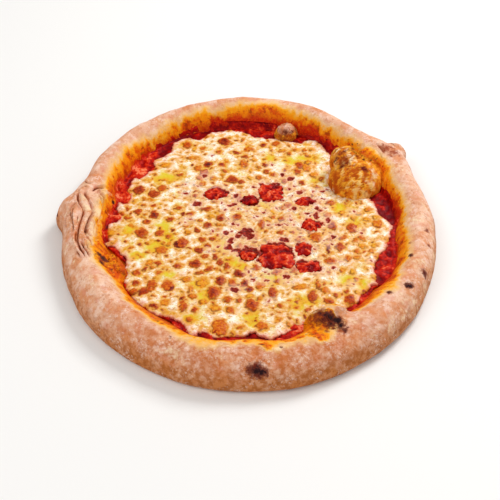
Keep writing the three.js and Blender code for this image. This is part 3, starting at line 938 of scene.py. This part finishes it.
def buildSauce():
    edge = sauce["nominalEdge"]
    start, rings = sauce["outerRings"]
    radii = list(sauce["middleRings"]) + np.linspace(start, edge, rings).tolist()
    section = [(r, sauce["top"]) for r in radii]
    section += [(r, sauce["bottom"]) for r in (edge, *sauce["lowerRings"])]
    bm = turnSection(section, sauce["turnFaces"])
    points = pointsOf(bm.verts)
    angle, radius = angleOf(points), np.hypot(points[:, 0], points[:, 1])
    line = onLevel(redOutline, sauce["top"])
    # on the far wall the red line is seen higher up, so it is drawn in to where that wall stands
    seen = np.hypot(line[:, 0], line[:, 1])
    ends = np.column_stack([angleOf(line), np.minimum(seen, wallReach(angleOf(line)))])
    reach = aroundRing(ends[np.argsort(ends[:, 0])], angle, 1.2) + sauce["reach"]
    placed = radius * reach / edge
    a = np.radians(angle)
    points[:, 0], points[:, 1] = placed * np.cos(a), placed * np.sin(a)
    upper = points[:, 2] > 6.5
    hidden = insideOutline(points[:, :2], cheeseOutline())
    loose = softStep(hidden, 7, 2) * (0.3 + 0.7 * softStep(reach - placed, 0, 4)) * upper
    wall = wallHeight(points[:, :2])
    skin = sauce["skin"] * softStep(reach - placed, 0, 2) - 0.25
    top = softMax(np.full(len(points), sauce["top"]), wall + skin, 1.5)
    points[:, 2] = np.where(upper, top, np.maximum(points[:, 2], wall - 1.5))
    movePoints(bm.verts, points)
    relief = 1.2 * lumps(points, 8, 3, 2) + 0.9 * ridges(points, 5.5, 2, 7)
    calm = 1 - 0.6 * np.clip(bulge(sauce["shade"], angle), 0, 1)
    movePoints(bm.verts, points + normalsOf(bm) * (loose * calm * (relief - 0.4))[:, None])
    # painted shade where the sauce runs under the cheese's edge, plus darker and lighter stretches round the
    # ring
    deepAndShaded = 0.45 * softStep(hidden, -8, 0) + bulge(sauce["shade"], angle)
    paint = {"relief": relief, "deepAndShaded": deepAndShaded}
    finish = sauceFinish("cookedSauce", *sauce["surface"])
    return addPiece("tomatoSauce", bm, finish, "tomato_sauce", paint)


def wallReach(angle):
    # how far out the sauce climbs
    return wellRadius(angle) + 0.6 + bulge(((15, 14, 0.6), (140, 16, 0.4)), angle)


def sauceFinish(name, contrast, lift, roughness, grit):
    finish, tree, shader = newFinish(name, roughness)
    relief = scaled(tree, grain(tree, 2.2, 3, 0.6), grit, -grit / 2)
    relief = count(tree, "ADD", painted(tree, "relief"), relief)
    # the colour follows the relief: painted shade in the hollows, painted pink highlights on the ridges
    tone = scaled(tree, relief, contrast, lift)
    # darker with painted shade under the cheese's edge and in the darker stretches
    tone = count(tree, "SUBTRACT", tone, scaled(tree, painted(tree, "deepAndShaded"), 0.4))
    colour = shades(tree, tone, ((0.0, (108, 2, 10)), (0.22, (128, 4, 8)), (0.45, (162, 12, 4)),
                                 (0.65, (200, 32, 10)), (0.82, (222, 70, 28)), (1.0, (242, 136, 92))))
    tree.links.new(colour, shader.inputs["Base Color"])
    setDepth(shader, 0.07, 0.05, (0.002, 0.0006, 0.0003))
    setRelief(tree, shader, grain(tree, 1.8, 3, 0.6), 0.35)
    return finish


cheese = {
    "spacing": 0.75,
    "netHalf": (126, 140),
    "top": 9.6,
    "bottom": 7.0,
    "roundEdge": 7.0,
    "swell": 0.6,
    "waves": 0.45,
    "strands": 0.32,
    "dome": 0.13,  # how high a browned spot stands, as a share of its size
    "moat": 0.14,
    "gapDepth": 1.2,
    "poolDepth": 0.35,
    "stoodIn": (0, 3, 4, 5),  # the bubbles that stand in it
    # how many, their smallest and largest half length, and how far they keep apart
    "spots": (340, (1.5, 4.2), 0.92),
    "tinySpots": (400, (0.6, 1.5), 1.0),
    "specks": (90, (0.5, 1.1), 1.2),
    "gaps": (110, (0.7, 1.7), 1.3),
    "gapCentre": (22, -8),
    "gapSpread": 46,
    "acrossPixel": 0.405,  # half a step of the frame in mm, on the cheese
    "awayPixel": 0.6,
}
# the cheese's outline in the frame, clockwise from the far left
cheeseRim = (
    (212, 131), (220, 131), (230, 129), (240, 130), (246, 133), (256, 136), (262, 137), (270, 137),
    (278, 139), (292, 141), (300, 142), (310, 138), (320, 143), (325, 147), (332, 154), (340, 166),
    (352, 178), (366, 190), (376, 206), (378, 213), (385, 218), (390, 223), (393, 228), (391, 236),
    (388, 245), (383, 252), (377, 258), (375, 265), (376, 275), (378, 280), (382, 284), (372, 284),
    (366, 292), (360, 298), (355, 303), (350, 306), (345, 309), (343, 312), (340, 310), (325, 309),
    (318, 313), (312, 317), (306, 322), (300, 327), (295, 323), (290, 330), (284, 333), (278, 334),
    (272, 338), (262, 337), (255, 331), (248, 334), (240, 336), (232, 335), (225, 337), (215, 337),
    (210, 335), (207, 331), (200, 331), (196, 336), (188, 331), (185, 325), (180, 321), (175, 318),
    (162, 315), (150, 310), (143, 306), (138, 302), (133, 298), (128, 292), (125, 286), (123, 280),
    (125, 270), (126, 262), (127, 258), (120, 252), (113, 245), (105, 245), (108, 240), (107, 235),
    (108, 228), (110, 222), (119, 219), (117, 208), (118, 202), (127, 202), (130, 197), (128, 190),
    (131, 183), (135, 175), (140, 177), (147, 173), (152, 170), (156, 165), (153, 160), (160, 157),
    (166, 155), (172, 150), (174, 142), (180, 138), (190, 136), (200, 138), (205, 135),
)
# browned spots that stand out: place, width and depth in the frame, and how dark
browned = (
    (187, 145, 9, 9, .5), (224, 142, 14, 9, .75), (203, 149, 8, 5, .4), (218, 152, 8, 5, .3),
    (248, 149, 9, 6, .5), (192, 158, 16, 4, .45), (208, 164, 9, 8, .6), (204, 173, 10, 9, .95),
    (198, 168, 9, 7, .5), (165, 165, 14, 6, .3), (243, 164, 8, 10, .45), (139, 190, 12, 9, .85),
    (154, 194, 13, 8, .75), (162, 189, 10, 7, .6), (232, 180, 14, 8, .65), (240, 182, 7, 6, .8),
    (202, 184, 7, 6, .5), (195, 196, 7, 5, .4), (127, 209, 4, 6, .5), (138, 212, 9, 7, .55),
    (155, 215, 10, 9, .7), (147, 222, 9, 6, .4), (220, 218, 10, 8, .5), (237, 217, 10, 7, .5),
    (208, 225, 10, 7, .5), (265, 165, 7, 6, .5), (267, 172, 8, 5, .45), (299, 165, 10, 9, .5),
    (306, 168, 9, 10, .4), (297, 172, 8, 7, .5), (302, 183, 7, 6, .5), (284, 181, 8, 6, .4),
    (330, 203, 12, 6, .5), (313, 226, 15, 7, .85), (352, 228, 12, 10, .6), (333, 226, 8, 8, .4),
    (377, 224, 12, 9, .5), (368, 210, 9, 6, .4), (141, 233, 12, 11, .6), (160, 233, 10, 8, .5),
    (182, 243, 13, 10, .7), (178, 244, 8, 8, 1.), (161, 250, 12, 9, .55), (199, 250, 10, 7, .75),
    (178, 266, 9, 5, .5), (158, 264, 7, 5, .4), (195, 264, 12, 9, .55), (204, 257, 10, 5, .5),
    (209, 269, 9, 6, .5), (220, 263, 8, 7, .8), (227, 267, 8, 6, .5), (239, 274, 13, 7, .65),
    (220, 281, 11, 10, .6), (232, 283, 9, 9, .55), (245, 284, 8, 8, .6), (249, 290, 9, 6, .6),
    (137, 273, 8, 6, .35), (136, 283, 9, 6, .35), (152, 284, 10, 8, .6), (168, 286, 13, 11, .65),
    (170, 288, 8, 7, 1.), (190, 290, 6, 8, .4), (202, 283, 11, 10, .35), (213, 293, 14, 12, .45),
    (228, 300, 10, 5, .35), (215, 308, 10, 7, .35), (231, 310, 10, 6, .4), (252, 305, 13, 10, .55),
    (251, 307, 7, 6, .85), (154, 306, 11, 4, .6), (165, 303, 9, 6, .35), (183, 306, 8, 11, .6),
    (184, 307, 5, 6, .9), (195, 310, 7, 6, .35), (190, 320, 10, 5, .3), (220, 327, 16, 14, .55),
    (217, 330, 9, 7, .85), (315, 237, 14, 10, .45), (298, 240, 6, 8, .65), (328, 250, 5, 10, .7),
    (340, 247, 10, 8, .45), (331, 261, 11, 7, .45), (357, 258, 8, 6, .3), (371, 251, 7, 5, .35),
    (318, 285, 6, 10, .45), (312, 296, 10, 9, .8), (328, 301, 10, 7, .5), (350, 299, 10, 9, .7),
    (272, 293, 10, 9, .6), (260, 285, 9, 7, .35), (300, 287, 16, 5, .4), (262, 326, 11, 8, .45),
    (278, 319, 8, 5, .3), (206, 209, 16, 5, .5), (243, 236, 9, 6, .5), (256, 268, 10, 6, .45),
    (293, 270, 9, 6, .4), (277, 282, 9, 5, .5), (324, 290, 8, 6, .35), (362, 238, 8, 7, .3),
    (288, 205, 9, 5, .35), (280, 232, 8, 5, .5), (262, 224, 8, 12, .6), (240, 198, 7, 9, .5),
    (283, 208, 6, 5, .35), (272, 217, 7, 5, .5), (282, 219, 7, 6, .6), (330, 240, 6, 6, .4),
    (150, 200, 8, 4, .25), (178, 208, 9, 5, .35), (190, 214, 8, 5, .4), (170, 219, 8, 5, .45),
    (186, 226, 7, 4, .45), (188, 233, 7, 5, .3), (213, 239, 8, 5, .35), (240, 246, 7, 7, .35),
    (207, 246, 7, 5, .5), (163, 180, 10, 4, .25), (180, 175, 7, 5, .35), (222, 165, 8, 6, .45),
    (215, 189, 16, 6, .7), (225, 171, 8, 4, .4), (276, 144, 12, 6, .55), (263, 145, 9, 6, .5),
    (282, 151, 9, 4, .5), (245, 157, 8, 5, .4), (312, 150, 7, 4, .3), (143, 292, 12, 7, .8),
    (134, 291, 9, 6, .7), (150, 289, 9, 6, .6),
)
# thin or torn places that show the sauce: place, width and depth in the frame
torn = (
    (226, 233, 6, 4), (237, 236, 5, 4), (231, 241, 6, 6), (228, 247, 6, 5), (236, 250, 9, 3),
    (246, 249, 4, 6), (250, 236, 7, 6), (245, 232, 4, 3), (235, 290, 8, 4), (291, 179, 7, 4),
    (299, 192, 6, 3), (316, 216, 4, 6), (328, 220, 5, 5), (333, 237, 5, 4), (303, 246, 9, 3),
    (284, 240, 9, 4), (197, 204, 8, 5), (234, 204, 6, 3), (236, 196, 4, 4), (282, 245, 8, 4),
    (287, 277, 6, 4), (306, 198, 9, 3), (283, 250, 10, 6), (205, 176, 6, 4), (262, 184, 4, 3),
    (254, 187, 4, 2), (289, 188, 3, 3), (294, 209, 4, 3), (317, 208, 4, 4), (320, 211, 4, 3),
    (279, 225, 4, 3), (233, 224, 4, 3), (306, 263, 4, 3), (316, 262, 5, 3), (282, 175, 4, 3),
    (230, 205, 5, 3),
)
# pools of oil: place, width and depth in the frame
oilPools = (
    (163, 227, 13, 11), (168, 237, 10, 9), (155, 246, 18, 9), (222, 246, 12, 9), (235, 261, 17, 10),
    (252, 318, 13, 13), (274, 280, 16, 10), (297, 304, 12, 12), (348, 280, 13, 7), (290, 161, 16, 8),
    (308, 158, 18, 6), (340, 208, 16, 8), (316, 222, 9, 7), (200, 284, 14, 9), (138, 255, 13, 6),
    (165, 178, 22, 8), (270, 158, 10, 6), (362, 284, 10, 8), (128, 230, 10, 9), (204, 296, 12, 8),
    (345, 280, 8, 6), (168, 274, 8, 4), (316, 180, 10, 8), (262, 205, 14, 5), (240, 266, 10, 8),
    (310, 300, 14, 8), (355, 222, 10, 6), (190, 318, 12, 5),
)
# the openings round the tomato pieces: x, y, half length and half width in mm, and their turn in degrees
tomatoGaps = (
    (25, -31, 14, 16, 20), (3, -29, 8, 7, 10), (22, 48, 9, 13, -20), (5, 37, 7, 6, 0),
    (51, 36, 8.5, 4.2, 5), (55, 6, 9, 4.5, 25), (47, -23, 6.5, 7, 0), (50, -44, 10.5, 6, -22),
    (-24, 46, 10, 7, 15), (1, -3, 5, 5, 0),
)


def cheeseOutline():
    return onLevel(cheeseRim, cheese["top"])


def onCheese(spots):
    # spots of the frame as patches: x, y, half length, half width and turn in mm
    landed = onLevel([spot[:2] for spot in spots], cheese["top"])
    return [(x, y, spot[2] * cheese["acrossPixel"], spot[3] * cheese["awayPixel"], 0)
            for (x, y), spot in zip(landed.tolist(), spots)]


def patchField(flat, patches):
    # millimetres inside the nearest patch, the patch's number, and which side of it, 1 at its lower left
    depth = np.full(len(flat), -9.0)
    owner = np.zeros(len(flat), int)
    side = np.zeros(len(flat))
    for number, (x, y, long, wide, turn) in enumerate(patches):
        reach = 1.6 * max(long, wide) + 4
        near = np.nonzero((np.abs(flat[:, 0] - x) < reach) & (np.abs(flat[:, 1] - y) < reach))[0]
        off = flat[near] - (x, y)
        a = math.radians(turn)
        across = np.hypot((off[:, 0] * math.cos(a) + off[:, 1] * math.sin(a)) / long,
                          (off[:, 1] * math.cos(a) - off[:, 0] * math.sin(a)) / wide)
        inside = (1 - across) * min(long, wide)
        better = inside > depth[near]
        chosen = near[better]
        depth[chosen] = inside[better]
        owner[chosen] = number
        side[chosen] = (off[better] @ (-0.75, -0.66)) / max(long, wide)
    return depth, owner, side


def scatter(wanted, span, crowd, chance, taken=()):
    # patches that keep apart from each other and from those taken; chance(x, y) is how likely one stays there
    placed = [tuple(patch) for patch in taken]
    spread = np.array([patch[:3] for patch in placed]).reshape(-1, 3)
    outline = cheeseOutline()
    for _ in range(wanted * 60):
        if len(placed) - len(taken) == wanted:
            break
        x, y = random.uniform(-125, 125), random.uniform(-125, 140)
        size = span[0] + (span[1] - span[0]) * random.random() ** 2.2
        turn, slim, luck = random.uniform(0, 180), random.uniform(0.5, 1.0), random.random()
        apart = np.hypot(spread[:, 0] - x, spread[:, 1] - y)
        if luck > chance(x, y) or (apart < crowd * (size + spread[:, 2])).any():
            continue
        if insideOutline(np.array([(x, y)]), outline)[0] < 2:
            continue
        placed.append((x, y, size, size * slim, turn))
        spread = np.vstack([spread, (x, y, size)])
    return placed[len(taken):]


def cheeseInside(flat):
    # millimetres inside the cheese's ragged outline and outside the bubbles that stand in it
    spots = np.column_stack([flat, np.zeros(len(flat))])
    wobble = 2.2 * np.column_stack([lumps(spots, 6, 4, 21), lumps(spots, 6, 4, 27)])
    inside = insideOutline(flat + wobble, cheeseOutline())
    for centre, halves, *_ in (bubbles[number] for number in cheese["stoodIn"]):
        away = np.hypot(flat[:, 0] - centre[0], flat[:, 1] - centre[1])
        inside = np.minimum(inside, away - min(halves[:2]) + 3)
    return inside


def meltSheet():
    # a fine net, cut to the outline, with its border drawn onto it
    halfX, halfY = cheese["netHalf"]
    columns, rows = round(2 * halfX / cheese["spacing"]), round(2 * halfY / cheese["spacing"])
    bm = bmesh.new()
    bmesh.ops.create_grid(bm, x_segments=columns, y_segments=rows, size=1)
    bmesh.ops.scale(bm, vec=(halfX, halfY, 1), verts=bm.verts)
    points = pointsOf(bm.verts)
    inside = cheeseInside(points[:, :2])
    bm.verts.ensure_lookup_table()
    bmesh.ops.delete(bm, geom=[bm.verts[i] for i in np.nonzero(inside < 0)[0]], context="VERTS")
    stray = [v for v in bm.verts if len(v.link_faces) < 2]
    bmesh.ops.delete(bm, geom=stray, context="VERTS")
    bm.verts.index_update()
    border = [v for v in bm.verts if v.is_boundary]
    flat = pointsOf(border)[:, :2]
    step = 0.2
    here = cheeseInside(flat)
    slope = np.column_stack([cheeseInside(flat + shift) - here for shift in ((step, 0), (0, step))]) / step
    moved = flat - slope * np.minimum(here, 0.7 * cheese["spacing"])[:, None]
    for vert, (x, y) in zip(border, moved.tolist()):
        vert.co.x, vert.co.y = x, y
    return bm


def rippleCheese(points, inside, spotDepth, size, side, bare, oilDepth):
    # the sheet's heights, and how much of them are its soft waves and strands
    soft = cheese["waves"] * lumps(points, 7, 3, 5)
    strands = cheese["strands"] * ridges(points * (0.8, 1.2, 1), 4.2, 3, 9)
    z = cheese["top"] + cheese["swell"] * lumps(points, 22, 2, 1) + soft + strands
    z += cheese["dome"] * size * softStep(np.clip(spotDepth / size, 0, 1), 0, 0.8) * softStep(size, 0.8, 2)
    z -= cheese["moat"] * np.exp(-((spotDepth + 0.1) / 0.6) ** 2) * softStep(side, -0.6, 0.4)
    z -= cheese["gapDepth"] * softStep(bare, -0.5, 0.6)
    z -= cheese["poolDepth"] * softStep(oilDepth, -1.5, 2.5)
    fall = np.clip(1 - inside / cheese["roundEdge"], 0, 1)
    z -= (cheese["top"] - cheese["bottom"] - 0.8) * (1 - np.sqrt(1 - 0.97 * fall ** 2))
    z = np.maximum(z, cheese["bottom"] + 0.3)
    wall = np.minimum(wallHeight(points[:, :2]) + 0.9, cheese["top"] + 2.5)
    return softMax(z, wall, 0.8), soft + strands


def scatterSpots():
    # every browned spot with its tone, and every gap; the specks, darkest of all, are painted shade of small
    # holes
    spots = onCheese(browned)
    tones = [spot[4] for spot in browned]
    more = scatter(*cheese["spots"], spotChance, spots)
    tiny = scatter(*cheese["tinySpots"], lambda x, y: 1.0, spots + more)
    specks = scatter(*cheese["specks"], gapChance, spots + more + tiny)
    tones += random.uniform(0.05, 0.6, len(more)).tolist() + random.uniform(0.2, 0.75, len(tiny)).tolist()
    # the specks: painted shade of small holes among the tomato pieces
    tones += [0.95] * len(specks)
    spots += more + tiny + specks
    return spots, tones, onCheese(torn) + scatter(*cheese["gaps"], gapChance, spots)


def buildCheese():
    bm = meltSheet()
    points = pointsOf(bm.verts)
    flat = points[:, :2]
    inside = np.maximum(cheeseInside(flat), 0)
    print("cheese cut:", len(points), "points")
    warp = np.column_stack([lumps(points, 5, 2, 3), lumps(points, 5, 2, 8)])
    rough = np.column_stack([lumps(points, 2.5, 2, 13), lumps(points, 2.5, 2, 18)])
    spots, tones, gaps = scatterSpots()
    spotDepth, owner, side = patchField(flat + 1.8 * warp + 0.7 * rough, spots)
    core = random.uniform(-0.15, 0.65, len(spots))[owner]
    size = np.array([min(spot[2], spot[3]) for spot in spots])[owner]
    gapDepth = patchField(flat + 1.0 * rough + 1.5 * warp, gaps)[0]
    tomatoDepth = patchField(flat + 2.5 * warp + 1.5 * rough, tomatoGaps)[0]
    bare = np.maximum(gapDepth, tomatoDepth)
    oilDepth = patchField(flat + 3.0 * warp + 1.0 * rough, onCheese(oilPools))[0]
    heights, rise = rippleCheese(points, inside, spotDepth, size, side, bare, oilDepth)
    points[:, 2] = heights
    movePoints(bm.verts, points)
    paint = {"spot": spotDepth, "spotTone": np.array(tones)[owner], "spotSide": side, "edge": inside,
             "core": core * np.clip(spotDepth / size, 0, 1), "bare": bare, "oil": oilDepth, "rise": rise}
    print("cheese melted with", len(spots), "browned spots and", len(gaps), "gaps")
    return closeSheet("meltedMozzarella", bm, paint)


def closeSheet(name, bm, paint):
    # gives the sheet its side and its flat underside
    born = bm.verts.layers.int.new("born")
    for number, vert in enumerate(bm.verts):
        vert[born] = number
    rim = [e for e in bm.edges if e.is_boundary]
    made = bmesh.ops.extrude_edge_only(bm, edges=rim)["geom"]
    for vert in (g for g in made if isinstance(g, bmesh.types.BMVert)):
        vert.co.z = min(cheese["bottom"], vert.co.z - 0.4)
    order = [vert[born] for vert in bm.verts]
    bm.verts.layers.int.remove(born)
    paint = {key: np.asarray(values)[order] for key, values in paint.items()}
    bmesh.ops.holes_fill(bm, edges=[e for e in bm.edges if e.is_boundary], sides=0)
    bmesh.ops.recalc_face_normals(bm, faces=bm.faces)
    return addPiece(name, bm, cheeseFinish(), "mozzarella", paint)


def spotChance(x, y):
    centre = math.hypot(x + 5, y + 25)
    return 0.5 + 0.5 * math.exp(-(centre / 70) ** 2)


def gapChance(x, y):
    centre, spread = cheese["gapCentre"], cheese["gapSpread"]
    return math.exp(-((x - centre[0]) ** 2 + (y - centre[1]) ** 2) / spread ** 2)


def moltenMilk(tree):
    # the plain cheese, with its veils, flecks, tears, oil and reddened edge
    rise = count(tree, "ADD", scaled(tree, painted(tree, "rise"), 0.5),
                 scaled(tree, grain(tree, 3.4, 4, 0.65, 0.5), 1.3))
    milk = shades(tree, rise, ((0.26, (164, 100, 12)), (0.4, (212, 152, 44)), (0.52, (242, 206, 128)),
                               (0.63, (252, 231, 194)), (0.82, (255, 249, 234))))
    tear = count(tree, "ABSOLUTE", count(tree, "SUBTRACT", grain(tree, 5, 3, 0.6, 0.8, shift=41), 0.5))
    tear = count(tree, "MULTIPLY", mask(tree, tear, 0.035, 0.012),
                 mask(tree, painted(tree, "bare"), -4.5, -1.5, 0.85))
    oil = ragged(tree, painted(tree, "oil"), 4, 0.9, shift=5)
    edge = ragged(tree, painted(tree, "edge"), 4, 1.2, shift=3)
    return coated(
        tree, milk,
        (mask(tree, grain(tree, 12, 5, 0.65, 0.8, shift=6), 0.5, 0.64, 0.6), (222, 196, 84)),
        (mask(tree, grain(tree, 8, 5, 0.65, 0.6, shift=45), 0.53, 0.63, 0.6), (216, 158, 52)),
        (mask(tree, grain(tree, 11, 4, 0.6, shift=21), 0.52, 0.64, 0.55), (248, 204, 178)),
        (mask(tree, grain(tree, 3.0, 4, 0.65, 0.8, (1, 1.5, 1), 15), 0.55, 0.63, 0.75), (198, 116, 20)),
        (mask(tree, grain(tree, 2.2, 4, 0.7, 0.8, shift=17), 0.62, 0.69, 0.85), (112, 56, 6)),
        (tear, (104, 40, 10)),
        (mask(tree, oil, -8.0, -1.0, 0.35), (232, 206, 84)),
        (mask(tree, oil, -3.6, 1.2, 0.92), (220, 192, 0)),
        (mask(tree, edge, 5.0, 0.5, 0.75), (232, 160, 128)),
        (mask(tree, edge, 1.6, 0.2, 0.7), (196, 72, 40)),
    )


def brownedSkin(tree, spot):
    # a spot's own colour, from amber to nearly black, with a broken rim of painted shade on its lower left
    heat = count(tree, "ADD", scaled(tree, painted(tree, "spotTone"), 0.54, 0.02), painted(tree, "core"))
    heat = ragged(tree, heat, 2.0, 0.28, shift=12)
    skin = shades(tree, heat, ((0.05, (232, 162, 34)), (0.25, (216, 118, 8)), (0.45, (194, 78, 4)),
                               (0.64, (160, 48, 2)), (0.84, (112, 20, 2)), (1.0, (60, 10, 2))))
    side = mask(tree, painted(tree, "spotSide"), -0.5, 0.5)
    broken = mask(tree, grain(tree, 4, 2, shift=35), 0.34, 0.5)
    # painted shade as a broken dark rim on each spot's lower left
    shadedRim = count(tree, "MULTIPLY", count(tree, "MULTIPLY", mask(tree, spot, 1.9, 0.6), broken),
                   scaled(tree, side, 0.65, 0.12))
    return coated(tree, skin, (shadedRim, (104, 42, 2)))


def cheeseFinish():
    finish, tree, shader = newFinish("meltedCheese", 0.36)
    fine = grain(tree, 1.5, 3, 0.6, shift=2)
    spot = ragged(tree, painted(tree, "spot"), 3.0, 0.8, shift=7)
    spot = ragged(tree, spot, 1.2, 0.35, shift=13)
    milk = coated(tree, moltenMilk(tree), (mask(tree, spot, -3.0, 0.0, 0.85), (228, 158, 28)))
    colour = blend(tree, mask(tree, spot, -0.7, 0.95), milk, brownedSkin(tree, spot))
    bare = ragged(tree, painted(tree, "bare"), 1.5, 0.25, shift=8)
    colour = coated(
        tree, colour,
        (mask(tree, bare, -7.0, -2.5, 0.16), (255, 236, 218)),
        (mask(tree, bare, -2.0, -0.6, 0.55), (240, 184, 156)),
        (mask(tree, bare, -0.8, 0.0), (184, 66, 34)),
    )
    red = blend(tree, mask(tree, fine, 0.4, 0.65), tint(104, 16, 2), tint(170, 34, 8))
    colour = blend(tree, mask(tree, bare, -0.15, 0.25), colour, red)
    tree.links.new(colour, shader.inputs["Base Color"])
    setDepth(shader, 0.16, 0.06, (0.0025, 0.0015, 0.0008))
    shader.inputs["Subsurface Scale"].default_value = 1.0
    wet = addNode(tree, "MapRange", {"Value": grain(tree, 5, 2, shift=9), "From Min": 0.35, "From Max": 0.65,
                                     "To Min": 0.26, "To Max": 0.5})
    tree.links.new(wet.outputs[0], shader.inputs["Roughness"])
    setRelief(tree, shader, count(tree, "ADD", fine, grain(tree, 3.4, 4, 0.65, 0.5)), 0.3)
    return finish


tomato = {
    "folds": ((10, 1, 1.5), (4.5, 2, 0.9)),  # width, octaves and depth
    "subdivisions": 5,
    "jag": 0.3,  # how ragged the outline is
    "surface": (0.4, 0.01, 0.3, 2.2),  # contrast, lift, roughness and grit
}


def buildTomatoPieces():
    finish = sauceFinish("crushedTomato", *tomato["surface"])
    names = sorted(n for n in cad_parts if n.startswith("tomato_piece"))
    for number, node in enumerate(names):
        low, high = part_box(node)
        middle, half = np.array((low + high) / 2) / mm, np.array((high - low) / 2) / mm
        bm = bmesh.new()
        bmesh.ops.create_icosphere(bm, subdivisions=tomato["subdivisions"], radius=1)
        bmesh.ops.scale(bm, vec=half.tolist(), verts=bm.verts)
        points, normals = pointsOf(bm.verts), normalsOf(bm)
        shape = sum(depth * ridges(points * (1, 1, 0.6), size, octaves, 5 * number + size)
                    for size, octaves, depth in tomato["folds"])
        upper = 0.4 + 0.6 * softStep(normals[:, 2], -0.3, 0.3)
        points = points + normals * (shape - 0.8)[:, None] * upper[:, None]
        spin = np.arctan2(points[:, 1], points[:, 0])
        jag = lumps(np.column_stack([2 * np.cos(spin), 2 * np.sin(spin), 0 * spin]), 1, 2, 3 * number + 1)
        points[:, :2] *= (1 + tomato["jag"] * jag)[:, None]
        points = points + middle
        points[:, 2] = np.maximum(points[:, 2], low.z / mm)
        movePoints(bm.verts, points)
        addPiece("tomatoPiece" + node.split("_")[-1], bm, finish, node, {"relief": shape})


def addFloor():
    finish, _, shader = newFinish("paleFloor", 0.6)
    shader.inputs["Base Color"].default_value = tint(*studio["floorColour"])
    bm = bmesh.new()
    bmesh.ops.create_grid(bm, x_segments=1, y_segments=1, size=studio["floorHalf"])
    floor = addPiece("floor", bm, finish)


addCamera()
addLamps()
addFloor()
buildCrust()
buildSauce()
buildCheese()
buildTomatoPieces()
